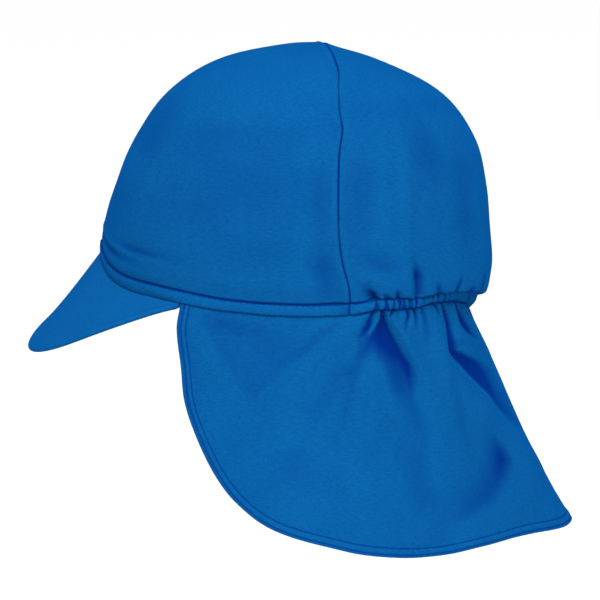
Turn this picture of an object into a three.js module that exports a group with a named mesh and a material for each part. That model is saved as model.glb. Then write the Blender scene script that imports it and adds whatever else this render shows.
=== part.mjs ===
// A child's sun hat with a peak and a neck flap, in its worn form.
// Millimetres, +Z up, the peak points along -Y and +X is the wearer's left side.
// The origin is the middle of the head opening, at the lower edge of the headband.
import * as THREE from 'three';

// Driving sizes of the head opening and of the cloth
const SEAM_Y = 25;
const OPENING_FRONT_Y = -91.5;
const OPENING_HALF_WIDTH = 73;
const OPENING_BACK_Y = 88.5;
const FRONT_FULLNESS = 2.3;
const BACK_FULLNESS = 2.05;
const PANEL_CLOTH = 1.3;
const FLAP_CLOTH = 1.2;
const HEM_CLOTH = 1.9;
const HEM_WIDTH = 6;
const BAND_HEIGHT = 6.4;
const BAND_CLOTH = 2.2;
const CASING_CLOTH = 2.6;
const CASING_RIDGES = 34;
const CASING_RIDGE_DEPTH = 0.8;
const STRIP_BULGE = 0.12;
const GAP = 0.3;

// How far up the crown the uneven height of the rim and the tuck over the band reach
const RIM_FADE = 0.3;
const TUCK_FADE = 0.08;
// Lean of the back panel where it meets the front one at the top of the crown
const TOP_LEAN = 0.24;
// Drop over which the flap's cloth turns from the upright band to its own slope
const FLAP_TURN = 10;
// The folds of the far side lie this many degrees off the near side's
const FAR_FOLD_SHIFT = 4;

// Driving sizes of the peak
const PEAK_CLOTH = 2.6;
const PEAK_HALF_ANGLE = 36.8;
const PEAK_HALF_WIDTH = 60;
const PEAK_END_Y = -56;
const PEAK_TIP_Y = -129;
const PEAK_END_Z = 1.5;
const PEAK_TIP_Z = -32.5;
const PEAK_CROWN = -1.5;
const PEAK_EDGE_BEND = 1.35;
const PEAK_EDGE_THIN = 0.6;
const PEAK_END_SHARE = 0.985;

// Height of the lower edge of the headband and the casing, by angle round from the front
const RIM = [
  { angle: 0, z: 14 },
  { angle: 3, z: 13.6 },
  { angle: 8, z: 11 },
  { angle: 13, z: 7.8 },
  { angle: 20, z: 5.5 },
  { angle: 30, z: 4.2 },
  { angle: 45, z: 1.8 },
  { angle: 60, z: 0.5 },
  { angle: 90, z: 0 },
  { angle: 110, z: 0 },
  { angle: 125, z: -1.5 },
  { angle: 140, z: -3.2 },
  { angle: 152, z: -6.5 },
  { angle: 165, z: -11.3 },
  { angle: 180, z: -14 },
];

// Rows of the crown from the headband up to its top, one ring of cloth each
const CROWN = [
  { up: 0, frontY: -91, frontZ: 15, sideX: 73, sideY: 25, sideZ: 6, backY: 90.5, backZ: -8 },
  { up: 0.06, frontY: -90.5, frontZ: 22, sideX: 75, sideY: 23.5, sideZ: 14, backY: 99.5, backZ: -5.5 },
  { up: 0.14, frontY: -89.5, frontZ: 28, sideX: 76, sideY: 21.5, sideZ: 25, backY: 101.3, backZ: 6 },
  { up: 0.26, frontY: -86.7, frontZ: 39, sideX: 77, sideY: 20, sideZ: 39, backY: 100.3, backZ: 24 },
  { up: 0.4, frontY: -80.6, frontZ: 55, sideX: 76, sideY: 19.5, sideZ: 56, backY: 97.5, backZ: 48 },
  { up: 0.55, frontY: -72.4, frontZ: 73, sideX: 72, sideY: 20, sideZ: 74, backY: 92, backZ: 70 },
  { up: 0.7, frontY: -58.5, frontZ: 92, sideX: 62, sideY: 20.5, sideZ: 92, backY: 77.5, backZ: 90 },
  { up: 0.84, frontY: -34, frontZ: 107, sideX: 42, sideY: 20, sideZ: 106.4, backY: 53, backZ: 103.4 },
  { up: 0.94, frontY: -3, frontZ: 114.7, sideX: 18, sideY: 19.2, sideZ: 114, backY: 31, backZ: 111.2 },
  { up: 1, frontY: 19, frontZ: 116.3, sideX: 0, sideY: 19, sideZ: 116.3, backY: 19, backZ: 116.3 },
];

// Shares of the way up the crown at which its walls have a ring of corners
const CROWN_LEVELS = [0, 0.03, 0.065, 0.14, 0.25, 0.37, 0.49, 0.6, 0.71, 0.81, 0.9, 0.96, 1];

// Widths of the neck flap by the drop below the casing
const FLAP = [
  { drop: 0, frontY: -91.5, sideX: 72.5, backY: 88, backFullness: 2 },
  { drop: 12, frontY: -95, sideX: 74, backY: 93.5, backFullness: 2 },
  { drop: 45, frontY: -99, sideX: 77, backY: 108.5, backFullness: 1.85 },
  { drop: 80, frontY: -99, sideX: 79.5, backY: 124.5, backFullness: 1.65 },
  { drop: 116, frontY: -96, sideX: 80.5, backY: 146, backFullness: 1.5 },
];

// Outline of the flap from the end of the peak, down its front edge and along its hem
const FLAP_OUTLINE = [
  { angle: 37, drop: 0 },
  { angle: 37, drop: 13 },
  { angle: 38.6, drop: 30 },
  { angle: 39.8, drop: 46 },
  { angle: 43.4, drop: 62 },
  { angle: 49, drop: 80 },
  { angle: 55, drop: 92 },
  { angle: 65, drop: 103 },
  { angle: 83, drop: 111.6 },
  { angle: 103, drop: 118.6 },
  { angle: 122, drop: 121.6 },
  { angle: 141, drop: 119.6 },
  { angle: 160, drop: 115.4 },
  { angle: 180, drop: 114.6 },
];

// Folds of the flap below the elastic: where each starts and ends, and how deep it is
const FLAP_FOLDS = [
  { fromAngle: 99, toAngle: 91, width: 2.6, spread: 6, depth: -1.6, start: 0, reach: 28 },
  { fromAngle: 106, toAngle: 108, width: 3, spread: 7, depth: -5, start: 0, reach: 84 },
  { fromAngle: 115.5, toAngle: 126, width: 4, spread: 9, depth: 3.2, start: 0, reach: 90 },
  { fromAngle: 127, toAngle: 131, width: 2.8, spread: 5, depth: -1.6, start: 0, reach: 34 },
  { fromAngle: 138.5, toAngle: 133, width: 3, spread: 5, depth: -3.6, start: 0, reach: 78 },
  { fromAngle: 139, toAngle: 156, width: 4, spread: 9, depth: -4.6, start: 8, reach: 80 },
  { fromAngle: 149, toAngle: 146, width: 3, spread: 5, depth: 2.4, start: 0, reach: 24 },
  { fromAngle: 158, toAngle: 168, width: 3.2, spread: 7, depth: 3, start: 0, reach: 72 },
  { fromAngle: 169, toAngle: 161, width: 3, spread: 5, depth: -2, start: 0, reach: 50 },
  { fromAngle: 177, toAngle: 178, width: 4, spread: 8, depth: 2.6, start: 0, reach: 100 },
];

// Gathers of the crown above the elastic
const CROWN_GATHERS = [
  { angle: 98, width: 2.8, depth: -2.6, reach: 0.1 },
  { angle: 108.5, width: 2.6, depth: -2.4, reach: 0.14 },
  { angle: 117.5, width: 2.8, depth: -3, reach: 0.42 },
  { angle: 126, width: 2.6, depth: -1.8, reach: 0.14 },
  { angle: 136.5, width: 2.6, depth: -2, reach: 0.15 },
  { angle: 148, width: 2.8, depth: -2.2, reach: 0.2 },
  { angle: 159, width: 2.8, depth: -2, reach: 0.14 },
  { angle: 171, width: 3, depth: -2.2, reach: 0.24 },
];

// Corners of each piece's walls: columns round the hat, rows up or down it
const FRONT_COLUMNS = 41;
const BACK_COLUMNS = 57;
const CASING_COLUMNS = 4 * CASING_RIDGES + 1;
const PEAK_COLUMNS = 29;
const PEAK_ROWS = 6;
const FLAP_COLUMNS = 73;
const FLAP_ROWS = 11;
// The smooth front of the flap takes few columns of its cloth, and the folded back many
const PLAIN_COLUMNS = 0.25;
const PLAIN_SHARE = 0.42;

// Colour of the cloth
const BLUE = 0x0b5ea6;

// Value of one column of a table, smoothly between its rows
function fromTable(table, key, column, at) {
  const last = table.length - 1;
  if (at <= table[0][key]) return table[0][column];
  if (at >= table[last][key]) return table[last][column];
  let row = 0;
  while (at > table[row + 1][key]) row += 1;
  const slope = (i) => {
    const before = table[Math.max(i - 1, 0)];
    const after = table[Math.min(i + 1, last)];
    return (after[column] - before[column]) / (after[key] - before[key]);
  };
  const low = table[row];
  const high = table[row + 1];
  const span = high[key] - low[key];
  const t = (at - low[key]) / span;
  const rise = high[column] - low[column];
  const bend = t * (1 - t);
  return low[column] + rise * t * t * (3 - 2 * t)
    + bend * (1 - t) * slope(row) * span - bend * t * slope(row + 1) * span;
}

const radians = THREE.MathUtils.degToRad;

function mirrored(angle) {
  return angle > 180 ? 360 - angle : Math.abs(angle);
}

// Point of a level ring that is half one oval in front of the seam and half another behind it
function ringPoint(angle, frontY, sideX, sideY, backY, backFullness = BACK_FULLNESS) {
  const turn = radians(angle);
  const isFront = mirrored(angle) < 90;
  const fullness = isFront ? FRONT_FULLNESS : backFullness;
  const reach = isFront ? sideY - frontY : backY - sideY;
  const along = Math.abs(Math.cos(turn)) / reach;
  const across = Math.abs(Math.sin(turn)) / sideX;
  const radius = (along ** fullness + across ** fullness) ** (-1 / fullness);
  return new THREE.Vector3(radius * Math.sin(turn), sideY - radius * Math.cos(turn), 0);
}

function rimHeight(angle) {
  return fromTable(RIM, 'angle', 'z', mirrored(angle));
}

// Point of the head opening's edge at an angle and a height above the rim's lower line
function openingPoint(angle, height) {
  const point = ringPoint(angle, OPENING_FRONT_Y, OPENING_HALF_WIDTH, SEAM_Y, OPENING_BACK_Y);
  point.z = rimHeight(angle) + height;
  return point;
}

// A soft ridge or valley of a given half width across an angle
function bump(distance, width) {
  return Math.exp(-((distance / width) ** 2));
}

// Middle of the crown's cloth at an angle and a share of the way up
function crownPoint(angle, up) {
  const column = (name) => fromTable(CROWN, 'up', name, up);
  const sideY = column('sideY');
  const point = ringPoint(angle, column('frontY'), column('sideX'), sideY, column('backY'));
  const isFront = mirrored(angle) < 90;
  const endY = isFront ? column('frontY') : column('backY');
  const endZ = isFront ? column('frontZ') : column('backZ');
  const share = up < 1 ? (point.y - sideY) / (endY - sideY) : 0;
  const planeZ = (row, along) => {
    const side = fromTable(CROWN, 'up', 'sideZ', row);
    const end = fromTable(CROWN, 'up', isFront ? 'frontZ' : 'backZ', row);
    return side + (end - side) * along;
  };
  const rimGap = rimHeight(angle) + BAND_HEIGHT + GAP - planeZ(0, share);
  const fade = Math.max(0, 1 - up / RIM_FADE) ** 2;
  point.z = column('sideZ') + (endZ - column('sideZ')) * share + rimGap * fade;
  return point;
}

// Middle of the flap's cloth at an angle and a drop below the casing
function flapPoint(angle, drop) {
  const column = (name) => fromTable(FLAP, 'drop', name, drop);
  const fullness = column('backFullness');
  const point = ringPoint(angle, column('frontY'), column('sideX'), SEAM_Y, column('backY'), fullness);
  point.z = rimHeight(angle) - GAP - drop;
  return point;
}

// How far the gathers push the crown's cloth out
function gatherDepth(angle, up) {
  let depth = 0;
  for (const gather of CROWN_GATHERS) {
    const fade = Math.max(0, 1 - up / gather.reach) ** 1.5;
    depth += gather.depth * fade * bump(mirrored(angle) - gather.angle, gather.width);
  }
  return depth;
}

// How far the folds push the flap's cloth out
function foldDepth(angle, drop) {
  const shift = angle > 180 ? FAR_FOLD_SHIFT * Math.sin(radians(2 * (mirrored(angle) - 90))) : 0;
  const place = mirrored(angle) + Math.max(shift, 0);
  let depth = 0;
  for (const fold of FLAP_FOLDS) {
    const share = (drop - fold.start) / (fold.reach - fold.start);
    if (share < 0 || share >= 1) continue;
    const middle = fold.fromAngle + (fold.toAngle - fold.fromAngle) * share;
    const width = fold.width + (fold.spread - fold.width) * share;
    const begin = fold.start > 0 ? Math.min(1, share * 4) : Math.min(1, 0.35 + share * 4);
    const fade = begin * Math.cos(share * Math.PI / 2);
    depth += fold.depth * fade * bump(place - middle, width);
  }
  return depth;
}

// Outward normal of a surface by small steps along its two directions
function normalAt(surface, u, v, stepU, stepV) {
  const alongU = surface(u + stepU, v).sub(surface(u - stepU, v));
  const alongV = surface(u, v + stepV).sub(surface(u, v - stepV));
  return alongU.cross(alongV).normalize();
}

// Closed wall of cloth from a grid of outer and inner points, whose last row may be one point
function wallFromGrids(outer, inner, hasPole) {
  const columns = outer[0].length;
  const rows = outer.length;
  const positions = [];
  const index = [];
  const place = (grid) => grid.map((row, j) => row.map((point, i) => {
    if (hasPole && j === rows - 1 && i > 0) return positions.length / 3 - 1;
    positions.push(point.x, point.y, point.z);
    return positions.length / 3 - 1;
  }));
  const out = place(outer);
  const inn = place(inner);
  const triangle = (a, b, c) => {
    if (a !== b && b !== c && a !== c) index.push(a, b, c);
  };
  const quad = (a, b, c, d) => {
    triangle(a, b, c);
    triangle(a, c, d);
  };
  for (let j = 0; j < rows - 1; j += 1) {
    for (let i = 0; i < columns - 1; i += 1) {
      quad(out[j][i], out[j][i + 1], out[j + 1][i + 1], out[j + 1][i]);
      quad(inn[j][i], inn[j + 1][i], inn[j + 1][i + 1], inn[j][i + 1]);
    }
    const end = columns - 1;
    quad(out[j][0], out[j + 1][0], inn[j + 1][0], inn[j][0]);
    quad(inn[j][end], inn[j + 1][end], out[j + 1][end], out[j][end]);
  }
  for (let i = 0; i < columns - 1; i += 1) {
    const top = rows - 1;
    quad(inn[0][i], inn[0][i + 1], out[0][i + 1], out[0][i]);
    quad(out[top][i], out[top][i + 1], inn[top][i + 1], inn[top][i]);
  }
  const geometry = new THREE.BufferGeometry();
  geometry.setAttribute('position', new THREE.Float32BufferAttribute(positions, 3));
  geometry.setIndex(index);
  geometry.computeVertexNormals();
  return geometry;
}

function range(count, from, to) {
  return Array.from({ length: count }, (_, i) => from + (to - from) * i / (count - 1));
}

function clamped(value, low, high) {
  return Math.min(Math.max(value, low), high);
}

// One crown panel between two angles, shifted clear of the seam
function crownPanel(fromAngle, toAngle, columns, seamShift) {
  const outer = [];
  const inner = [];
  const step = 0.003;
  for (const up of CROWN_LEVELS) {
    const outerRow = [];
    const innerRow = [];
    for (const angle of range(columns, fromAngle, toAngle)) {
      const inset = clamped(angle, fromAngle + 0.5, toAngle - 0.5);
      const normal = normalAt(crownPoint, inset, clamped(up, step, 1 - 2 * step), 0.4, step);
      if (up === 1) normal.set(0, seamShift > 0 ? TOP_LEAN : 0, 1);
      normal.z *= Math.min(1, up / TUCK_FADE);
      normal.normalize();
      const push = gatherDepth(angle, up);
      const middle = crownPoint(angle, up);
      middle.y += seamShift;
      outerRow.push(middle.clone().addScaledVector(normal, push + PANEL_CLOTH / 2));
      innerRow.push(middle.clone().addScaledVector(normal, push - PANEL_CLOTH / 2));
    }
    outer.push(outerRow);
    inner.push(innerRow);
  }
  return wallFromGrids(outer, inner, true);
}

// Upright strip of cloth along the rim between two angles, with ridges where it is gathered
function rimStrip(fromAngle, toAngle, columns, cloth, ridges, ridgeDepth, seamShift) {
  const levels = [{ height: 0, bulge: 0 }, { height: 0.5, bulge: 1 }, { height: 1, bulge: 0 }];
  const outer = levels.map(() => []);
  const inner = levels.map(() => []);
  for (const angle of range(columns, fromAngle, toAngle)) {
    const inset = clamped(angle, fromAngle + 0.5, toAngle - 0.5);
    const normal = normalAt(openingPoint, inset, 0, 0.4, 1);
    const wave = ridges > 0 ? Math.cos(radians(angle - fromAngle) * 2 * ridges) : 0;
    levels.forEach(({ height, bulge }, j) => {
      const middle = openingPoint(angle, height * BAND_HEIGHT);
      middle.y += seamShift;
      const ridge = ridgeDepth * wave * (0.4 + 0.6 * bulge);
      const out = cloth * (0.5 + STRIP_BULGE * bulge) + ridge;
      outer[j].push(middle.clone().addScaledVector(normal, out));
      inner[j].push(middle.clone().addScaledVector(normal, -cloth / 2));
    });
  }
  return wallFromGrids(outer, inner, false);
}

const outlineSteps = FLAP_OUTLINE.map((row, i) => (
  { step: i / (FLAP_OUTLINE.length - 1), ...row }
));

// Point of the flap's outline by the share of the way along it, from the peak's end to the back
function outlineAt(share) {
  return {
    angle: fromTable(outlineSteps, 'step', 'angle', share),
    drop: fromTable(outlineSteps, 'step', 'drop', share),
  };
}

// Outline moved into the flap by a distance along its cloth
function insetOutline(share, distance) {
  const here = outlineAt(share);
  const before = outlineAt(Math.max(share - 0.01, 0));
  const after = outlineAt(Math.min(share + 0.01, 1));
  const degreeOn = flapPoint(here.angle + 0.5, here.drop);
  const perDegree = degreeOn.distanceTo(flapPoint(here.angle - 0.5, here.drop));
  const alongAngle = (after.angle - before.angle) * perDegree;
  const alongDrop = after.drop - before.drop;
  const length = Math.hypot(alongAngle, alongDrop);
  return {
    angle: here.angle + distance * alongDrop / length / perDegree,
    drop: here.drop - distance * alongAngle / length,
  };
}

// Where the flap's front edge ends and its bottom edge begins, as a share of its outline
const CORNER_ROW = FLAP_OUTLINE.findIndex((row) => row.angle === 65);
const CORNER_SHARE = CORNER_ROW / (FLAP_OUTLINE.length - 1);

// Whole outline from the near front corner round to the far one, share 0 to 1
function wholeOutline(share, distance) {
  const isNear = share <= 0.5;
  const half = insetOutline(isNear ? share * 2 : 2 - share * 2, distance);
  return { angle: isNear ? half.angle : 360 - half.angle, drop: Math.max(half.drop, 0) };
}

// Share of the way across the flap of one of its columns, counted 0 to 1
function columnShare(t) {
  const half = t <= 0.5 ? t * 2 : 2 - t * 2;
  const share = half < PLAIN_COLUMNS ? half / PLAIN_COLUMNS * PLAIN_SHARE
    : PLAIN_SHARE + (half - PLAIN_COLUMNS) / (1 - PLAIN_COLUMNS) * (1 - PLAIN_SHARE);
  return t <= 0.5 ? share / 2 : 1 - share / 2;
}

const frontEdgeShare = (v) => CORNER_SHARE / 2 * v;
const hemShare = (s) => CORNER_SHARE / 2 + (1 - CORNER_SHARE) * s;

// Cloth of the flap inside its hem, filled in between its four edges
function flapGrid() {
  const edge = HEM_WIDTH + GAP;
  const left = (v) => wholeOutline(frontEdgeShare(v), edge);
  const right = (v) => wholeOutline(1 - frontEdgeShare(v), edge);
  const hem = (s) => wholeOutline(hemShare(s), edge);
  const topStart = left(0).angle;
  const top = (s) => ({ angle: topStart + (360 - 2 * topStart) * s, drop: 0 });
  const blend = (name, s, v) => {
    const across = (1 - v) * top(s)[name] + v * hem(s)[name];
    const along = (1 - s) * left(v)[name] + s * right(v)[name];
    const corners = (1 - s) * (1 - v) * top(0)[name] + s * (1 - v) * top(1)[name]
      + (1 - s) * v * hem(0)[name] + s * v * hem(1)[name];
    return across + along - corners;
  };
  const shares = range(FLAP_COLUMNS, 0, 1).map(columnShare);
  return range(FLAP_ROWS, 1, 0).map((v) => shares.map((s) => (
    { angle: blend('angle', s, v), drop: blend('drop', s, v) }
  )));
}

// Hem outside the flap's cloth, with a column at each point of the cloth's edge
function hemGrid() {
  const nearEdge = range(FLAP_ROWS, 0, 1).map(frontEdgeShare);
  const bottom = range(FLAP_COLUMNS, 0, 1).slice(1, -1).map(columnShare).map(hemShare);
  const farEdge = range(FLAP_ROWS, 1, 0).map((v) => 1 - frontEdgeShare(v));
  const shares = [...nearEdge, ...bottom, ...farEdge];
  return [0, HEM_WIDTH].map((distance) => shares.map((share) => wholeOutline(share, distance)));
}

// Outer and inner points of a piece of flap cloth laid out on a grid of angles and drops
function flapCloth(grid, cloth) {
  const surface = (angle, down) => flapPoint(angle, -down);
  const side = (sign) => grid.map((row) => row.map((at) => {
    const drop = Math.max(at.drop, 0.6);
    const normal = normalAt(surface, at.angle, -drop, 0.4, 0.5);
    normal.z *= Math.min(1, at.drop / FLAP_TURN);
    normal.normalize();
    const push = foldDepth(at.angle, at.drop) + sign * cloth / 2;
    return flapPoint(at.angle, at.drop).addScaledVector(normal, push);
  }));
  return wallFromGrids(side(1), side(-1), false);
}

// Curved peak: a crescent between the headband's lower edge and its own outer edge
function peakPoint(across, out) {
  const root = openingPoint(across * PEAK_HALF_ANGLE, -GAP - PEAK_CLOTH / 2);
  const turn = across * Math.PI / 2;
  const tip = new THREE.Vector3(
    PEAK_HALF_WIDTH * Math.sin(turn),
    PEAK_END_Y + (PEAK_TIP_Y - PEAK_END_Y) * Math.cos(turn),
    PEAK_END_Z + (PEAK_TIP_Z - PEAK_END_Z) * Math.cos(turn) ** PEAK_EDGE_BEND,
  );
  const point = root.lerp(tip, out);
  point.z += PEAK_CROWN * Math.sin(out * Math.PI) * Math.cos(turn);
  return point;
}

function peak() {
  const surface = (across, inward) => peakPoint(across, 1 - inward);
  const columns = range(PEAK_COLUMNS, -PEAK_END_SHARE, PEAK_END_SHARE);
  const side = (sign) => range(PEAK_ROWS, 0, 1).map((inward) => columns.map((across) => {
    const normal = normalAt(surface, clamped(across, -0.97, 0.97), clamped(inward, 0.02, 0.98), 0.01, 0.01);
    const thickness = PEAK_CLOTH * (inward === 0 ? PEAK_EDGE_THIN : 1);
    return surface(across, inward).addScaledVector(normal, sign * thickness / 2);
  }));
  return wallFromGrids(side(1), side(-1), false);
}

// One named piece of the hat in its own cloth
function piece(name, geometry, colour, roughness) {
  const cloth = new THREE.MeshStandardMaterial({ color: colour, roughness, metalness: 0 });
  const mesh = new THREE.Mesh(geometry, cloth);
  mesh.name = name;
  return mesh;
}

const crownFront = crownPanel(-90, 90, FRONT_COLUMNS, -GAP / 2);
const crownBack = crownPanel(90, 270, BACK_COLUMNS, GAP / 2);
const headband = rimStrip(-90, 90, FRONT_COLUMNS, BAND_CLOTH, 0, 0, -GAP / 2);
const casing = rimStrip(90, 270, CASING_COLUMNS, CASING_CLOTH, CASING_RIDGES, CASING_RIDGE_DEPTH, GAP / 2);

const hat = new THREE.Group();
hat.add(
  piece('crown_front', crownFront, BLUE, 0.8),
  piece('crown_back', crownBack, BLUE, 0.8),
  piece('headband', headband, BLUE, 0.8),
  piece('elastic_casing', casing, BLUE, 0.85),
  piece('peak', peak(), BLUE, 0.75),
  piece('neck_flap', flapCloth(flapGrid(), FLAP_CLOTH), BLUE, 0.8),
  piece('flap_hem', flapCloth(hemGrid(), HEM_CLOTH), BLUE, 0.8),
);

export default hat;
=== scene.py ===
"""A child's sun hat with a peak and a gathered neck flap, in smooth stretch cloth.

Tables and sizes are in millimetres and become metres when a mesh is made. An angle runs round the hat,
in degrees: the middle of the peak is 0, the wearer's left side 90 and the back 180.
"""
import math
import bpy
import numpy as np
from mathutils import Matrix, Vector


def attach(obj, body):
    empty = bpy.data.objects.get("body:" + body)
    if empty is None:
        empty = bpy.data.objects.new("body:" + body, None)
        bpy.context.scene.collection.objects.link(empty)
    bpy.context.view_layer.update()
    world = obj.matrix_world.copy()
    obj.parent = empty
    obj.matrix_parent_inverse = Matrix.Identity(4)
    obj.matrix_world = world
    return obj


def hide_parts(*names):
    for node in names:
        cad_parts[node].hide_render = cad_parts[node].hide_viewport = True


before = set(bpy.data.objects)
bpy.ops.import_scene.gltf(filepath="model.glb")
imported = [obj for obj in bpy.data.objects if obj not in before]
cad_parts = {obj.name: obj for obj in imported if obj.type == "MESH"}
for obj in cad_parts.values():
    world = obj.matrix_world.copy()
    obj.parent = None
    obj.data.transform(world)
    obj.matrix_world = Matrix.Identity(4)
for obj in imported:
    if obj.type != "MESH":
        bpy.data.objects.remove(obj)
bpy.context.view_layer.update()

MM = 0.001


def columns(names, *rows):
    """A small table: one array of numbers for each named column."""
    return dict(zip(names.split(), np.array(rows, float).T))


def fold_tables(names, *tables):
    """A list of small tables with the same columns, one for each fold."""
    return [columns(names, *rows) for rows in tables]


# The head opening and the cloth
SEAM_Y = 25.0
OPENING_FRONT_Y = -91.5
OPENING_HALF_WIDTH = 73.0
OPENING_BACK_Y = 88.5
FRONT_FULLNESS = 2.3
BACK_FULLNESS = 2.05
BAND_HEIGHT = 5.7
EDGE_GAP = 0.05
CLOTH = 0.9
SEAM_GAP = 0.06

# How far up the crown the uneven height of the rim and the tuck over the band reach
RIM_FADE = 0.3
TUCK_FADE = 0.08
# How high the crown is along its cloth, about, and how its back panel leans at the top
CROWN_HEIGHT = 130
TOP_LEAN = 0.24
# Over what drop the flap turns down, and how its far side's folds differ from the near side's
FLAP_TURN = 10.0
FAR_FOLD_SHIFT = 4.0
FAR_FOLD_DEPTH = 0.85

# How strong the painted shade of a crease at the band is, that of cloth behind it, and the brightest
# painted highlight of a ridge
CREASE_PAINTED_SHADE = 1.9
HIDDEN_PAINTED_SHADE = 2.0
BRIGHTEST_PAINTED_HIGHLIGHT = -1.4

# The angle from which the elastic gathers the cloth, and over what angle that sets in
GATHERS_FROM = 97
GATHERS_OVER = 4

# Where cloth disappears behind the band: how far in it turns, over what height, and how far it goes on
TUCK_IN = 0.8
TUCK_HEIGHT = 0.6
TUCK_LENGTH = 2.4
BAND_INNER = -0.3

# How far the bottom and the top of the casing lean out at the back, and from which angle
LOW_LEAN = 1.2
TOP_LEAN_OUT = 6.4
LEAN_FROM = 145.0

# The seam over the crown: a groove with a soft lip on each side
GROOVE_DEPTH = 0.45
GROOVE_WIDTH = 0.4
LIP_HEIGHT = 0.34
LIP_DISTANCE = 1.9
LIP_WIDTH = 1.3

# The peak
PEAK_CLOTH = 2.6
PEAK_HALF_ANGLE = 36.8
PEAK_HALF_WIDTH = 60.0
PEAK_END_Y = -56.0
PEAK_TIP_Y = -129.0
PEAK_END_Z = 1.2
PEAK_TIP_Z = -33.2
PEAK_CROWN = -1.5
PEAK_EDGE_BEND = 1.35
PEAK_END_SHARE = 0.985

# The height of the rim's lower line
RIM = columns(
    "angle z",
    (0, 14), (3, 13.6), (8, 11), (13, 7.8), (20, 5.5), (30, 4.2), (45, 1.8), (54, 0.8), (62, 0), (76, -0.4),
    (90, 0), (110, 0), (125, -0.8), (138, -2.1), (150, -5.3), (160, -9.6), (168, -13.6), (174, -16.3),
    (180, -17.4),
)
# How tall the band and the casing stand: the band is drawn in before the seam, and the gathers push
# the casing up at the back
RIM_TALL = columns(
    "angle share",
    (0, 1), (36, 1.02), (50, 0.88), (64, 0.92), (82, 0.9), (91, 0.93), (100, 0.8), (110, 0.86), (118, 0.74),
    (123, 0.76), (129, 0.9), (139, 1.1), (150, 1.26), (180, 1.27),
)
# How far the elastic draws the lower edge of the casing up, and over what drop of the flap that fades
ELASTIC_RISE = columns(
    "angle rise",
    (88, 0), (93, 0.3), (100, 2), (106, 1.5), (112, 1.2), (118, 1.1), (124, 2.1), (130, 1.6), (140, 0.6),
    (150, 0),
)
RISE_FADE = 9.0
# The crown's outline at each share of the way up: its front, its sides at the seam, and its back
CROWN = columns(
    "up front_y front_z side_x side_y side_z back_y back_z",
    (0, -91, 15, 73, 25, 6, 95.5, -8),
    (0.06, -90.5, 22, 75, 23.5, 14, 99.5, -5.5),
    (0.14, -89.5, 28, 76, 21.5, 25, 101.3, 6),
    (0.26, -86.7, 39, 77, 20, 39, 100.3, 24),
    (0.4, -80.6, 55, 76, 19.5, 56, 97.5, 48),
    (0.55, -72.4, 73, 72, 20, 74, 92, 70),
    (0.7, -58.5, 92, 62, 20.5, 92, 77.5, 90),
    (0.84, -34, 107, 42, 20, 106.4, 53, 103.4),
    (0.94, -3, 114.7, 18, 19.2, 114, 31, 111.2),
    (1, 19, 116.3, 0, 19, 116.3, 19, 116.3),
)
# How far back the seam wanders on the near side, and the share of it on the far side
SEAM_WANDER = columns(
    "up shift",
    (0, 0.5), (0.065, 1.1), (0.14, 0.2), (0.25, -0.25), (0.4, -0.1), (0.56, 0), (0.61, 0.8), (0.655, 1.6),
    (0.71, 0.6), (0.79, 1.1), (0.865, 2.4), (0.94, 1.6), (1, 0),
)
WANDER_REACH = 14.0
FAR_WANDER = -0.5
# The flap's outline at each drop below the rim, and how full the curve of its back is
FLAP = columns(
    "drop front_y side_x back_y fullness",
    (0, -91.5, 72.5, 89.5, 2),
    (12, -95, 74, 94.6, 2),
    (45, -99, 77, 110.2, 1.85),
    (80, -99, 79.5, 126.9, 1.65),
    (116, -96, 80.5, 148.6, 1.46),
)
# The edge of the flap, from the end of the peak down its front and along the bottom to the back
FLAP_OUTLINE = columns(
    "angle drop",
    (36.5, 0), (36.5, 13), (38.3, 30), (39.8, 46), (43.2, 62), (48.6, 80), (55, 93.2), (65, 104),
    (83, 112.7), (103, 119.8), (122, 123.5), (141, 121), (160, 115.8), (180, 114),
)
# The row of the outline at which the front edge turns into the bottom one
CORNER_ROW = 7

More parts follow.
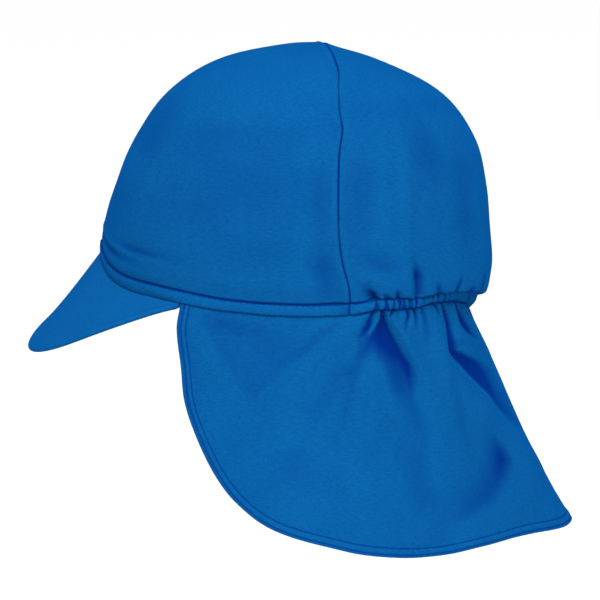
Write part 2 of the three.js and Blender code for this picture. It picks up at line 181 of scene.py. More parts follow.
# Folds of the flap under the elastic, left and right being the widths of a fold's two sides in degrees
FLAP_FOLDS = fold_tables(
    "drop angle left right depth",
    [(0, 99.4, 1, 0.9, -2.6), (4, 98.2, 1.4, 1.1, -1.8), (9, 96, 2, 2, -0.9), (16, 95, 3, 3, -0.3),
     (24, 95, 4, 4, 0)],
    [(0, 97.2, 2, 1, 0.8), (5, 93.6, 4, 1.4, 1.4), (12, 91, 6, 2, 1.1), (28, 89.5, 8, 4, 0)],
    [(0, 101.6, 0.9, 0.8, 1), (3, 101.8, 0.9, 0.9, 1.5), (7, 99.4, 1.4, 1.4, 1.3), (11, 96.4, 2, 2.4, 0.9),
     (18, 94, 3, 3, 0)],
    [(0, 102.8, 0.9, 0.8, -3.6), (3, 103.4, 2, 0.9, -4.4), (8, 104.7, 5.2, 1.3, -4.8),
     (14, 107, 7.6, 1.5, -4.6), (20, 109.2, 8, 1.7, -4.1), (26, 111.4, 8, 1.8, -3.3),
     (34, 112.6, 8, 2, -2.6), (44, 113.2, 8, 3, -2), (60, 115, 8, 5, -1.6), (84, 116.6, 8, 6, -1.3),
     (106, 119, 9, 8, -0.8)],
    [(0, 105.3, 0.7, 0.6, 0.5), (6, 107.2, 0.9, 1.4, 1.6), (12, 110.4, 1.2, 2.8, 2.3),
     (20, 113.4, 1.6, 4, 2.7), (28, 116.6, 2, 5, 2.9), (36, 118.6, 2.6, 6, 2.6), (48, 122, 4, 7, 2),
     (66, 126, 5, 8, 1.3), (96, 129, 8, 9, 0)],
    [(0, 107.2, 0.8, 0.7, -2.8), (3, 105.9, 0.7, 0.6, -1.8), (8, 105.4, 0.8, 0.8, 0)],
    [(0, 110.2, 1.4, 1.3, 0.9), (4, 110.8, 1.6, 1.2, 0.9), (10, 110, 2, 2, 0)],
    [(0, 112.9, 0.8, 0.7, -1.8), (3.5, 113.9, 1, 0.7, -1.6), (6, 112.8, 1, 0.9, -1.1),
     (11, 111.4, 1.4, 1.4, 0)],
    [(0, 116.6, 0.9, 0.8, -1.8), (4.5, 117.4, 1, 0.8, -1.4), (11, 116.4, 1.4, 1.4, 0)],
    [(0, 120.4, 1, 1, -1.4), (7, 121.6, 1.6, 1.8, -1.1), (24, 121.8, 2.6, 2.6, 0)],
    [(0, 126.2, 1.4, 1.2, -2.1), (2.6, 128.6, 1.6, 1.2, -1.5), (7, 130.5, 1.8, 1.2, 0)],
    [(0, 124, 2.4, 5, 0.6), (6, 127.4, 5, 2.4, 0.8), (12, 128.4, 6, 2.4, 1), (20, 128.4, 6, 2.4, 1.3),
     (40, 129, 7, 2.8, 1.5), (70, 130, 8, 6, 0)],
    [(0, 132.4, 0.9, 1.4, -2.8), (5, 133.4, 1.1, 2, -3.8), (10, 133.8, 1.1, 2.6, -4.1),
     (15, 133.4, 1.2, 3, -4), (19, 133.2, 1.2, 3.6, -3.4), (22.5, 134, 1.5, 4, -2),
     (27, 135.4, 1.8, 3, -0.8), (36, 134.4, 1.6, 2.4, -0.4), (52, 134.6, 1.8, 2.6, -0.3),
     (66, 136, 2.4, 3.4, 0)],
    [(0, 139, 1.4, 1.6, 0.7), (4.5, 140, 1.8, 2, 1.1), (10.8, 138.8, 2, 2.6, 1.4),
     (15.2, 139.6, 2.2, 3, 1.4), (18.6, 142.4, 2.6, 3.4, 1.2), (21, 149.4, 3.6, 4, 0.9),
     (24, 157, 4, 4, 0)],
    [(0, 144, 1.4, 1.6, -1.6), (4, 144.8, 2.4, 2.6, -2.7), (7.5, 146, 3, 3.2, -3.1),
     (11.2, 148, 3.2, 3.4, -2.8), (14.5, 150.4, 3.2, 3.4, -1.5), (18, 155, 3, 3, 0)],
    [(19, 133, 1, 2, 0), (22, 133.2, 1.3, 3, -1.6), (24.5, 135.6, 1.7, 5, -2.6), (29, 140, 2.4, 11, -3),
     (34, 144.6, 3, 13, -2.9), (39.5, 149.8, 3.4, 11, -2.5), (46, 156, 4, 9, -1.7), (56, 164, 5, 8, -0.9),
     (66, 170, 6, 9, -0.4), (78, 176, 8, 9, 0)],
    [(26, 131.6, 4, 2, 0), (34, 133.4, 5, 2.4, 1), (46, 140, 7, 3.4, 1.4), (60, 153, 9, 4.4, 1.7),
     (74, 164, 10, 7, 1.2), (88, 175, 12, 12, 0)],
    [(0, 152.6, 2, 2, 1), (6, 154.6, 2.6, 3, 1.7), (14, 159.4, 3.4, 4, 2), (24, 165.6, 4, 4.6, 2),
     (44, 171, 6, 6, 0)],
    [(0, 168.4, 1.2, 1.2, -2), (9, 171, 2, 2, -1.4), (26, 172, 3, 3, 0)],
    [(0, 180, 5, 5, 1.6), (50, 180, 8, 8, 1.4), (100, 180, 12, 12, 0)],
    [(52, 146, 5, 4, 0), (64, 149.4, 7, 4.6, -1.1), (76, 151.6, 9, 4.8, -1.7), (86, 149.4, 10, 5.4, -1.5),
     (97, 143, 10, 8, -1), (108, 133, 9, 8, 0)],
    [(58, 163, 6, 8, 0), (70, 166, 6, 10, 0.9), (84, 167, 8, 12, 1.1), (98, 166, 9, 12, 0.6),
     (110, 165, 9, 12, 0)],
)
# Broad shallow folds of the rest of the flap
FLAP_DRAPES = fold_tables(
    "drop angle left right depth",
    [(0, 46, 5, 6, -0.3), (5, 47, 6, 7, -0.6), (12, 50, 9, 9, 0)],
    [(0, 92.5, 2, 2, 0.4), (5, 89.4, 3, 2.4, 1), (12, 85.2, 4.4, 3.4, 1.4), (24, 76.2, 5, 4.4, 1.5),
     (37, 68, 5, 4.6, 1.4), (49, 60.8, 5, 4.6, 1.1), (62, 54.6, 6, 5, 0.5), (74, 50, 8, 8, 0)],
    [(5, 39, 2.4, 2.4, 0.2), (12, 40.4, 3, 2.6, 0.6), (28, 47.2, 3.4, 3, 0.8), (42, 52.5, 4, 3.6, 0.7),
     (54, 56, 5, 5, 0)],
    [(0, 60, 9, 11, -0.3), (7, 60, 8, 10, -0.5), (16, 61, 7, 7, -0.3), (26, 61, 5, 5, 0)],
    [(16, 92, 5, 5, 0), (31, 89.6, 6, 6, -0.2), (45, 83.2, 8, 8, -0.4), (60, 76.5, 10, 10, -0.5),
     (76, 72, 10, 10, -0.4), (90, 70, 12, 12, 0)],
    [(12, 99, 3, 3, 0), (20, 98.4, 4, 3.4, 0.8), (32, 97.6, 4.6, 4, 1.5), (50, 96.8, 5.4, 5, 1.8),
     (75, 96.8, 7, 6, 1.6), (98, 96.5, 9, 8, 1), (114, 96, 9, 9, 0.3)],
    [(50, 106, 6, 6, 0), (74, 113, 8, 8, -1), (96, 118, 9, 9, -1.5), (116, 122, 9, 9, -1.2)],
    [(30, 128, 3.4, 3.6, 0), (48, 129, 4, 4, 1.1), (66, 132, 4.4, 4, 1.3), (84, 134, 5, 5, 0)],
)
# Shade that gathers in the flap's folds and light along its ridges, its strength in the depth column
FLAP_SHADES = fold_tables(
    "drop angle left right depth",
    [(0, 102.6, 1.2, 1, 0.9), (3, 102.9, 1.8, 1.1, 0.8), (6, 102.8, 4.6, 1.6, 0.6),
     (11, 103.2, 7.4, 2.2, 0.5), (20, 105.6, 8, 2.8, 0.4), (28, 107.6, 7, 3, 0.4),
     (36, 108.6, 6.4, 3.4, 0.3), (46, 109.6, 6, 4, 0.12), (58, 111, 6, 5, 0)],
    [(1, 96.4, 1, 1, 0), (4, 97, 1.8, 1.6, 0.3), (10, 98, 2.6, 2.2, 0.35), (18, 96.4, 3.4, 3, 0.26),
     (27, 94.2, 4, 4, 0.22), (38, 92, 5, 5, 0.14), (54, 87, 7, 7, 0.05), (70, 82, 9, 9, 0)],
    [(2, 50, 8, 14, 0), (8, 51, 8, 13, 0.2), (16, 52, 7, 10, 0)],
    [(3, 90, 3, 3, -0.3), (12, 85.2, 5, 4, -0.6), (24, 76.2, 6, 5, -0.7), (37, 68, 6, 6, -0.7),
     (49, 60.8, 6, 6, -0.5), (62, 54.6, 7, 6, -0.3), (74, 50, 8, 8, 0)],
    [(8, 39.6, 3, 3, -0.2), (18, 43, 3.4, 3.4, -0.5), (28, 47.2, 4, 4, -0.5), (40, 52, 4.4, 4.4, -0.4),
     (52, 56, 5, 5, 0)],
    [(16, 98.6, 4, 3.4, 0), (30, 97.8, 5, 4, -0.5), (50, 96.8, 6, 5, -0.7), (75, 96.8, 8, 7, -0.6),
     (98, 96.5, 10, 9, -0.4), (116, 96, 10, 9, -0.2)],
    [(10, 113, 3, 6, 0), (20, 118, 4, 8, -0.4), (34, 122, 5, 8, -0.5), (50, 126, 6, 8, -0.5),
     (70, 130, 7, 8, -0.3), (90, 132, 8, 8, 0)],
    [(0, 106.3, 0.8, 0.7, 1), (2, 106.1, 0.7, 0.7, 0.8), (5, 105.6, 0.8, 0.8, 0)],
    [(0, 132.2, 0.8, 1.2, 0.8), (5, 133.2, 0.8, 1.8, 1), (11, 133.5, 0.9, 2.2, 1), (16, 133.2, 1, 3.6, 1),
     (19, 133.2, 1, 5.6, 1), (23, 134.4, 1.5, 7, 0.95), (25.5, 137, 2, 8, 0.9), (29, 140.4, 2.8, 13, 0.85),
     (34, 145, 3.4, 14, 0.8), (39.5, 150.4, 3.8, 10, 0.6), (46, 156, 4, 7, 0.25), (55, 161, 5, 5, 0)],
    [(0, 144.4, 1.4, 1.8, 0.3), (4, 145, 2.2, 2.6, 0.7), (8, 146.4, 3, 3.2, 0.8), (12, 148.8, 3, 3.2, 0.6),
     (16, 152.6, 3, 3, 0)],
    [(2, 90, 3, 2, 0), (6, 85, 4, 2.6, 0.18), (14.5, 76.4, 5, 3.2, 0.2), (21, 71, 5, 3.4, 0.17),
     (28, 66, 5, 4, 0.1), (40, 60, 6, 5, 0)],
    [(8, 101.5, 2, 2, 0), (15, 101.2, 3, 2.4, 0.25), (24, 99, 3.2, 2.6, 0.36), (33, 96.6, 3.4, 3, 0.2),
     (48, 93, 4, 4, 0.1), (62, 90, 5, 5, 0)],
    [(14, 102, 2, 2, 0), (22, 103.6, 3, 2.4, 0.14), (31, 106, 3, 3, 0.18), (40, 108.8, 3, 3, 0.13),
     (52, 111.5, 4, 4, 0.05), (64, 113, 5, 5, 0)],
    [(18, 110.4, 2, 2, 0), (24.5, 112.6, 2, 2, 0.25), (31.5, 115.4, 2.2, 2.2, 0.5),
     (40, 118.4, 2.4, 2.2, 0.36), (48, 120.8, 3, 3, 0.1), (60, 123, 4, 4, 0)],
    [(4, 46, 4, 6, 0), (12, 48.4, 4, 7, 0.1), (20, 50, 4, 7, 0.14), (30, 53, 4, 6, 0.12),
     (42, 55, 3, 5, 0.09), (56, 57, 4, 4, 0)],
    [(58, 151, 4, 3, 0), (68, 153.2, 5, 3, 0.12), (77, 155, 6, 3.4, 0.22), (86, 151.5, 7, 4, 0.2),
     (94, 146.2, 8, 5, 0.14), (100, 140, 8, 6, 0.12), (106, 132, 9, 8, 0.12), (114, 124, 9, 9, 0.08)],
    [(44, 66, 9, 9, 0), (54, 66, 10, 10, -0.5), (66, 66, 10, 10, 0)],
    [(52, 160, 4, 5, 0), (62, 163, 5, 9, -1), (74, 166, 5, 10, -1.4), (88, 166, 6, 10, -1.4),
     (100, 167, 8, 10, -1), (114, 168, 8, 10, -0.4)],
    [(14, 131.4, 2, 1, 0), (22, 131, 2.4, 1.6, -0.5), (36, 130.8, 3, 3, -0.7), (51, 130.8, 3, 3, -0.7),
     (70, 131.2, 4, 4, -0.4), (86, 132, 4, 4, 0)],
    [(26, 90, 4, 4, 0), (34, 88.4, 4, 3.4, -0.3), (46, 85, 5, 4, -0.4), (60, 80.5, 6, 6, -0.3),
     (76, 76, 8, 8, 0)],
)
# Gathers of the crown over the elastic
CROWN_CREASES = fold_tables(
    "up angle left right depth",
    [(0, 99.8, 2.4, 1.4, -3.4), (0.03, 99, 3.2, 1.6, -3.8), (0.06, 97.4, 3, 2, -1.8),
     (0.09, 96, 3, 2.2, 0)],
    [(0, 105.4, 1.2, 1, -1.8), (0.022, 104.4, 2.2, 1.3, -1.4), (0.045, 103.6, 2, 2, 0)],
    [(0, 108.9, 1.2, 1.1, -2.2), (0.04, 109, 1.3, 1.5, -1.8), (0.07, 109.3, 1.4, 2, 0)],
    [(0, 112.4, 1, 1, -0.9), (0.04, 112.6, 1.2, 1.2, 0)],
    [(0, 117.4, 1.6, 1.8, -2), (0.04, 117.6, 2, 2.4, -3.2), (0.08, 118, 2, 2.5, -3.5),
     (0.13, 118, 2, 2.4, -3.1), (0.18, 117.8, 2.1, 2.3, -1.6), (0.24, 117.4, 2.6, 2.6, -0.4),
     (0.38, 116.4, 4, 4, 0)],
    [(0, 121.6, 1, 1, -0.9), (0.05, 121.8, 1.2, 1.2, 0)],
    [(0, 126.8, 1.2, 1.4, -1), (0.05, 127, 1.6, 1.8, -2), (0.08, 126.8, 1.5, 1.5, -1.5),
     (0.11, 126.6, 1.4, 1.4, 0)],
    [(0, 131.4, 1, 1, -0.9), (0.06, 131.8, 1.4, 1.4, 0)],
    [(0, 136, 1.2, 1.2, -0.9), (0.06, 136.8, 1.7, 1.7, -1.9), (0.1, 138, 1.3, 1.5, -1.2),
     (0.13, 138.6, 1.2, 1.4, 0)],
    [(0, 147, 2, 2, -0.9), (0.055, 148, 3.4, 3, -1.8), (0.09, 147, 2.4, 2.4, 0)],
    [(0, 158, 2, 2, -1.2), (0.05, 157.6, 2.2, 2.2, -1.8), (0.15, 156.4, 3, 3, 0)],
    [(0, 168.4, 1.6, 1.6, -1.4), (0.06, 168.8, 2, 2, -1.8), (0.16, 169.6, 2.4, 2.4, 0)],
    [(0, 175, 1.4, 1.4, -1), (0.07, 174.6, 1.8, 1.8, -1.5), (0.16, 174, 2, 2, 0)],
)
# Broad dents and swellings of the crown, wide in degrees and tall as a share of the way up
CROWN_DENTS = columns(
    "angle up wide tall depth",
    (12, 0.065, 8, 0.026, -1.1),
    (25, 0.12, 9, 0.03, -1),
    (16, 0.1, 14, 0.03, 0.7),
    (20, 0.025, 14, 0.02, 0.5),
    (83, 0.09, 5, 0.11, -1.6),
    (84, 0.36, 4, 0.2, -0.7),
    (115, 0.44, 2.8, 0.15, 1.5),
    (127, 0.57, 8, 0.16, -1),
    (143, 0.38, 7, 0.2, -0.7),
    (52, 0.79, 32, 0.1, 1.2),
    (58, 0.38, 34, 0.24, -0.8),
    (98, 0.42, 5, 0.26, -0.7),
    (104, 0.16, 7, 0.06, -0.6),
    (12, 0.43, 14, 0.07, 0.8),
    (14, 0.66, 14, 0.13, -0.6),
    (60, 0.06, 20, 0.03, 0.4),
    (120, 0.84, 26, 0.07, 0.7),
)
# Gaps between the gathers of the elastic casing
CASING_GAPS = (
    99.9, 103.8, 106.8, 108.9, 110.8, 113.6, 116.4, 120.0, 124.7, 128.4, 132.2, 136.4,
    140.6, 144.4, 149.2, 154.1, 158.4, 163.3, 167.8, 172.4, 177.1,
)


def read(table, column, at):
    """Values of one column of a table at places along its first one, smoothly between its rows."""
    places = next(iter(table.values()))
    values = table[column]
    last = len(places) - 1
    at = np.clip(at, places[0], places[-1])
    ahead = np.minimum(np.arange(last + 1) + 1, last)
    behind = np.maximum(np.arange(last + 1) - 1, 0)
    slope = (values[ahead] - values[behind]) / (places[ahead] - places[behind])
    row = np.clip(np.searchsorted(places, at, side="right") - 1, 0, last - 1)
    span = places[row + 1] - places[row]
    t = (at - places[row]) / span
    rise = values[row + 1] - values[row]
    bend = t * (1 - t)
    return (values[row] + rise * t * t * (3 - 2 * t)
            + bend * (1 - t) * slope[row] * span - bend * t * slope[row + 1] * span)


def read_all(table, at):
    """Values of each column of a table but the first."""
    return {name: read(table, name, at) for name in list(table)[1:]}


def mirrored(angle):
    """The angle of the same place on the near side."""
    angle = np.abs(angle)
    return np.where(angle > 180, 360 - angle, angle)


def ramp(value, start, width):
    """From 0 at the start to 1 a width further on."""
    return np.clip((value - start) / width, 0, 1)


def bump(distance, width):
    """1 in the middle and next to 0 two widths away."""
    return np.exp(-((distance / width) ** 2))


def to_middle(share):
    """Share of the way from either end of a span to its middle."""
    return np.where(share <= 0.5, share * 2, 2 - share * 2)


def length_along(points):
    """Length from the first point, or row of points, to each one."""
    steps = np.linalg.norm(np.diff(points, axis=0), axis=-1)
    return np.concatenate([np.zeros_like(steps[:1]), np.cumsum(steps, axis=0)])


def stacked(*parts):
    return np.stack(np.broadcast_arrays(*parts), -1)


def unit(vectors):
    return vectors / np.linalg.norm(vectors, axis=-1, keepdims=True)


def ring(angle, front_y, side_x, side_y, back_y, back_fullness=BACK_FULLNESS):
    """Point of a level ring that is half one oval in front of the seam and half another behind it."""
    turn = np.radians(angle)
    is_front = mirrored(angle) < 90
    fullness = np.where(is_front, FRONT_FULLNESS, back_fullness)
    reach = np.where(is_front, side_y - front_y, back_y - side_y)
    along = np.abs(np.cos(turn)) / reach
    across = np.abs(np.sin(turn)) / side_x
    radius = (along ** fullness + across ** fullness) ** (-1 / fullness)
    return radius * np.sin(turn), side_y - radius * np.cos(turn)


def elastic_rise(angle):
    return read(ELASTIC_RISE, "rise", mirrored(angle))


def rim_height(angle):
    return read(RIM, "z", mirrored(angle)) + elastic_rise(angle)


def opening_point(angle, height):
    """Point of the head opening's edge at a height above the rim's lower line."""
    x, y = ring(angle, OPENING_FRONT_Y, OPENING_HALF_WIDTH, SEAM_Y, OPENING_BACK_Y)
    return stacked(x, y, rim_height(angle) + height)


def opening_normal(angle):
    """Level direction out of the head opening, told a degree off the seam where the two ovals meet."""
    away = np.where(mirrored(angle) < 90, -1, 1) * np.where(angle > 180, -1, 1)
    inset = np.where(np.abs(mirrored(angle) - 90) < 1, angle + away, angle)
    return normal_at(opening_point, inset, np.zeros_like(inset), 0.4, 1.0)


def rim_top(angle):
    """How high the band or the casing stands."""
    return BAND_HEIGHT * read(RIM_TALL, "share", mirrored(angle))


def casing_lean(angle, height):
    """How far the casing leans out at the back."""
    share = ramp(mirrored(angle), LEAN_FROM, 180 - LEAN_FROM)
    return share ** 1.4 * (LOW_LEAN + (TOP_LEAN_OUT - LOW_LEAN) * height / BAND_HEIGHT)


def rim_surface(angle, height, out):
    """Point of the band or the casing, out from the line of the head opening."""
    push = out + casing_lean(angle, height)
    raised = height * rim_top(angle) / BAND_HEIGHT
    return opening_point(angle, raised) + opening_normal(angle) * push[..., None]


def crown_point(angle, up):
    """Middle of the crown's cloth at a share of the way up."""
    up = np.clip(up, 0, 0.9995)
    value = read_all(CROWN, up)
    x, y = ring(angle, value["front_y"], value["side_x"], value["side_y"], value["back_y"])
    is_front = mirrored(angle) < 90
    end_y = np.where(is_front, value["front_y"], value["back_y"])
    end_z = np.where(is_front, value["front_z"], value["back_z"])
    share = (y - value["side_y"]) / (end_y - value["side_y"])
    base_side = CROWN["side_z"][0]
    base_end = np.where(is_front, CROWN["front_z"][0], CROWN["back_z"][0])
    rim_gap = rim_height(angle) + rim_top(angle) + EDGE_GAP - (base_side + (base_end - base_side) * share)
    fade = np.maximum(0, 1 - up / RIM_FADE) ** 2
    z = value["side_z"] + (end_z - value["side_z"]) * share + rim_gap * fade
    return stacked(x, y, z)


def flap_point(angle, drop):
    """Middle of the flap's cloth at a drop below the band and the casing."""
    value = read_all(FLAP, drop)
    x, y = ring(angle, value["front_y"], value["side_x"], SEAM_Y, value["back_y"], value["fullness"])
    fallen = elastic_rise(angle) * (1 - np.exp(-np.maximum(drop, 0) / RISE_FADE))
    return stacked(x, y, rim_height(angle) - EDGE_GAP - drop - fallen)


def normal_at(surface, u, v, step_u, step_v):
    """Direction out of a surface, from points a step to each side."""
    along_u = surface(u + step_u, v) - surface(u - step_u, v)
    along_v = surface(u, v + step_v) - surface(u, v - step_v)
    return unit(np.cross(along_u, along_v))


def crown_normal(angle, up, lean):
    """Direction out of the crown, level at the rim and the same for all angles at the top."""
    inset = np.where(mirrored(angle) < 90, np.clip(angle, -89.5, 89.5), angle)
    inset = np.where((inset >= 90) & (inset <= 270), np.clip(inset, 90.5, 269.5), inset)
    normal = normal_at(crown_point, inset, np.clip(up, 0.003, 0.985), 0.4, 0.003)
    top = ramp(up, 0.93, 0.06)[..., None]
    normal = normal * (1 - top) + np.array([0, lean, 1]) * top
    normal[..., 2] *= ramp(up, 0, TUCK_FADE)
    return unit(normal)


def flap_normal(angle, drop):
    """Direction out of the flap, level where it leaves the rim."""
    normal = normal_at(lambda a, d: flap_point(a, -d), angle, -np.maximum(drop, 0.6), 0.4, 0.5)
    normal[..., 2] *= ramp(drop, 0, FLAP_TURN)
    return unit(normal)


def creases(folds, place, at):
    """Sum of folds: how far they push the cloth out."""
    depth = 0
    for fold in folds:
        value = read_all(fold, at)
        away = place - value["angle"]
        depth = depth + value["depth"] * bump(away, np.where(away < 0, value["left"], value["right"]))
    return depth


def far_place(angle):
    """Where on the near side's folds a place of the far side stands, so that the two aren't twins."""
    folded = mirrored(angle)
    shift = np.maximum(FAR_FOLD_SHIFT * np.sin(np.radians(2 * (folded - 90))), 0)
    return np.where(angle > 180, folded + shift, folded)


def gathering(angle):
    """From 0 in front of the elastic to 1 where it gathers the cloth."""
    return ramp(mirrored(angle), GATHERS_FROM, GATHERS_OVER)


def far_share(angle):
    """How deep the folds are, shallower on the far side than on the near one."""
    return 1 - (1 - FAR_FOLD_DEPTH) * ramp(angle, 180, 15)


def waves(u, v, seed, longest, count=7):
    """Gentle unevenness of cloth, from -1 to 1, with no two places alike."""
    random = np.random.default_rng(seed)
    total = 0
    for _ in range(count):
        heading = random.uniform(0, 2 * math.pi)
        length = longest * random.uniform(0.35, 1)
        phase = random.uniform(0, 2 * math.pi)
        along = u * math.cos(heading) + v * math.sin(heading)
        total = total + np.sin(along * 2 * math.pi / length + phase)
    return total / count


def gap_profile(place, width):
    """How near a place is to one of the casing's gaps, from 0 to 1. Some gaps are deeper than others."""
    nearest = 0
    for k, gap in enumerate(CASING_GAPS):
        strength = 0.78 + 0.22 * math.sin(k * 2.4)
        nearest = np.maximum(nearest, strength * bump(place - gap, width * (1 + 0.3 * math.cos(k * 1.3))))
    return nearest


def averaged(grid, passes):
    """Grid of numbers with each one evened out with its neighbours, many times over."""
    for _ in range(passes):
        wide = np.pad(grid, ((0, 0), (1, 1)), "edge")
        grid = (wide[:, :-2] + 2 * grid + wide[:, 2:]) / 4
        tall = np.pad(grid, ((1, 1), (0, 0)), "edge")
        grid = (tall[:-2] + 2 * grid + tall[2:]) / 4
    return grid


def relief_painted_shading(angle, relief, narrow, wide):
    """Painted shade where each point lies in a hollow, up to 1, and painted highlight on a ridge, below 0,
    more so at the back.

    narrow and wide are the depths of a sharp and of a broad hollow that has the whole painted shade.
    """
    sharp = averaged(relief, 5) - relief
    soft = averaged(relief, 150) - relief
    gain = 1 + 0.4 * ramp(mirrored(angle), 125, 30)
    painted_shading = (sharp / narrow + soft / wide) * gain
    return np.clip(np.where(painted_shading < 0, 1.5 * painted_shading, painted_shading), BRIGHTEST_PAINTED_HIGHLIGHT, 1)


def flap_relief(angle, drop):
    """How far the flap's cloth is pushed out by its folds and gathers."""
    place = far_place(angle)
    folds = creases(FLAP_FOLDS, place, drop) + creases(FLAP_DRAPES, place, drop)
    sway = 0.5 * waves(angle * 1.3, drop, 11, 70) * ramp(drop, 0, 25)
    gathered = gathering(angle) * np.exp(-np.maximum(drop, 0) / 3.2)
    pinch = (0.5 - 1.5 * gap_profile(place, 0.75)) * gathered
    tuck = -TUCK_IN * bump(np.maximum(drop, 0), TUCK_HEIGHT)
    return folds * far_share(angle) + sway + pinch + tuck


def seam_distance(point, up):
    """How far behind the plain line of the seam a point lies."""
    return point[..., 1] - read(CROWN, "side_y", np.clip(up, 0, 1))


def seam_wander(point, up):
    """How far back the cloth about the seam lies from where the seam's plain line would take it."""
    side = np.where(point[..., 0] > 0, 1, FAR_WANDER)
    shift = read(SEAM_WANDER, "shift", np.clip(up, 0, 1))
    return side * shift * bump(seam_distance(point, up), WANDER_REACH)


def height_up(up):
    """Height along the cloth of a share of the way up the crown."""
    return np.maximum(up, 0) * CROWN_HEIGHT


def seam_painted_shading(point, up):
    """Painted shade in the seam's groove, more in some stretches, with a painted highlight on a lip on one
    side.
    """
    from_seam = seam_distance(point, up)
    height = height_up(up)
    stretch = 0.75 + 0.35 * np.sin(height * 0.11 + 0.6) + 0.15 * np.sin(height * 0.47)
    light = 0.5 + 0.5 * np.sin(height * 0.07 - 1.2)
    return (1.25 * stretch * bump(from_seam - 0.1, 0.4) - 1.3 * light * bump(from_seam + 1.5, 0.8)
            - 1.2 * (1 - light) * bump(from_seam - 1.7, 0.9))


def edge_painted_shade(distance):
    """Painted shade where cloth goes under the band or the casing."""
    return CREASE_PAINTED_SHADE * bump(distance, 0.7)


def crown_dents(angle, up):
    """Sum of the broad dents and swellings of the crown: how far they push the cloth out."""
    place = far_place(angle)
    total = 0
    for middle, level, wide, tall, depth in zip(*CROWN_DENTS.values()):
        total = total + depth * bump(place - middle, wide) * bump(up - level, tall)
    return total


def crown_relief(angle, up, point):
    """How far the crown's cloth is pushed out by its seam, dents and gathers."""
    height = height_up(up)
    place = far_place(angle)
    folds = creases(CROWN_CREASES, place, up) * far_share(angle)
    dents = crown_dents(angle, up)
    from_seam = seam_distance(point, up)
    groove = -GROOVE_DEPTH * bump(from_seam, GROOVE_WIDTH)
    lip = LIP_HEIGHT * bump(np.abs(from_seam) - LIP_DISTANCE, LIP_WIDTH)
    lip = lip * (1 - 0.45 * np.sign(from_seam) * np.cos(height * 0.045) + 0.35 * np.sin(height * 0.43))
    pucker = 0.09 * np.sin(height * 1.15) * np.sin(height * 0.31 + 1) * bump(from_seam, 3)
    gathered = gathering(angle) * np.exp(-height / 3.5)
    pinch = (0.35 - 1.2 * gap_profile(place, 0.75)) * gathered
    tuck = -TUCK_IN * bump(height, TUCK_HEIGHT)
    sway = 0.3 * waves(point[..., 0] + point[..., 1] * 0.6, point[..., 2], 5, 80)
    sway = sway * ramp(height, 0, 20) * ramp(1 - up, 0, 0.1)
    top_fade = ramp(1 - up, 0, 0.02)
    return (folds + dents + pinch) * top_fade + groove + lip + pucker + tuck + sway


def new_object(name, points, faces, uv=None, painted_shading=None):
    """Mesh object from points in millimetres, with its weave coordinates and its painted shading."""
    mesh = bpy.data.meshes.new(name)
    mesh.from_pydata((np.asarray(points) * MM).tolist(), [], faces)
    mesh.validate()
    if uv is not None:
        layer = mesh.uv_layers.new(name="weave")
        corner = np.zeros(len(mesh.loops), np.int32)
        mesh.loops.foreach_get("vertex_index", corner)
        layer.data.foreach_set("uv", (np.asarray(uv)[corner] * MM).astype(np.float32).ravel())
    if painted_shading is not None:
        layer = mesh.attributes.new("painted_shading", "FLOAT", "POINT")
        layer.data.foreach_set("value", np.asarray(painted_shading, np.float32))
    mesh.polygons.foreach_set("use_smooth", [True] * len(mesh.polygons))
    made = bpy.data.objects.new(name, mesh)
    bpy.context.scene.collection.objects.link(made)
    return made


def cloth_shell(name, middle, normal, push, uv, painted_shading, has_pole=False):
    """Closed thin sheet of cloth on a grid of points, whose last row may meet in one point."""
    rows, count = push.shape
    index = np.arange(rows * count).reshape(rows, count)
    if has_pole:
        index[-1, :] = index[-1, 0]
    offset = push[..., None]
    outer = middle + normal * (offset + CLOTH / 2)
    inner = middle + normal * (offset - CLOTH / 2)
    if has_pole:
        outer[-1] = outer[-1].mean(0)
        inner[-1] = inner[-1].mean(0)
    far = rows * count
    faces = []

    def strip(a, b, c, d):
        quads = np.stack([a.ravel(), b.ravel(), c.ravel(), d.ravel()], 1)
        for quad in quads.tolist():
            corners = list(dict.fromkeys(quad))
            if len(corners) > 2:
                faces.append(corners)

    strip(index[:-1, :-1], index[:-1, 1:], index[1:, 1:], index[1:, :-1])
    strip(far + index[:-1, :-1], far + index[1:, :-1], far + index[1:, 1:], far + index[:-1, 1:])
    strip(index[:-1, 0], index[1:, 0], far + index[1:, 0], far + index[:-1, 0])
    strip(far + index[:-1, -1], far + index[1:, -1], index[1:, -1], index[:-1, -1])
    strip(far + index[0, :-1], far + index[0, 1:], index[0, 1:], index[0, :-1])
    if not has_pole:
        strip(index[-1, :-1], index[-1, 1:], far + index[-1, 1:], far + index[-1, :-1])
    points = np.concatenate([outer.reshape(-1, 3), inner.reshape(-1, 3)])
    used = np.unique(np.concatenate([np.array(f) for f in faces]))
    renumber = np.zeros(len(points), np.int64)
    renumber[used] = np.arange(len(used))
    faces = [renumber[f].tolist() for f in faces]
    flat_uv = np.tile(uv.reshape(-1, 2), (2, 1))[used]
    flat_painted_shading = np.tile(painted_shading.ravel(), 2)[used]
    return new_object(name, points[used], faces, flat_uv, flat_painted_shading)


def swept(name, loops, uv, painted_shading):
    """Closed bar whose cross-section is a loop of points, one loop for each place along it."""
    count, size = loops.shape[:2]
    index = np.arange(count * size).reshape(count, size)
    following = np.roll(index, -1, axis=1)
    quads = np.stack([index[:-1], following[:-1], following[1:], index[1:]], -1).reshape(-1, 4)
    faces = quads.tolist() + [index[0][::-1].tolist(), index[-1].tolist()]
    return new_object(name, loops.reshape(-1, 3), faces, uv.reshape(-1, 2), painted_shading.ravel())


def stepped(*pieces):
    """Places from one value to the next, each piece (start, end, steps)."""
    parts = [np.linspace(start, end, steps, endpoint=False) for start, end, steps in pieces]
    return np.concatenate([*parts, [pieces[-1][1]]])


def panel_angles(first, last, count, evenness):
    """Angles across a crown panel, closer together at its two seams."""
    s = np.linspace(-1, 1, count)
    spread = evenness * s + (1 - evenness) * np.sin(s * math.pi / 2)
    return (first + last) / 2 + (last - first) / 2 * spread


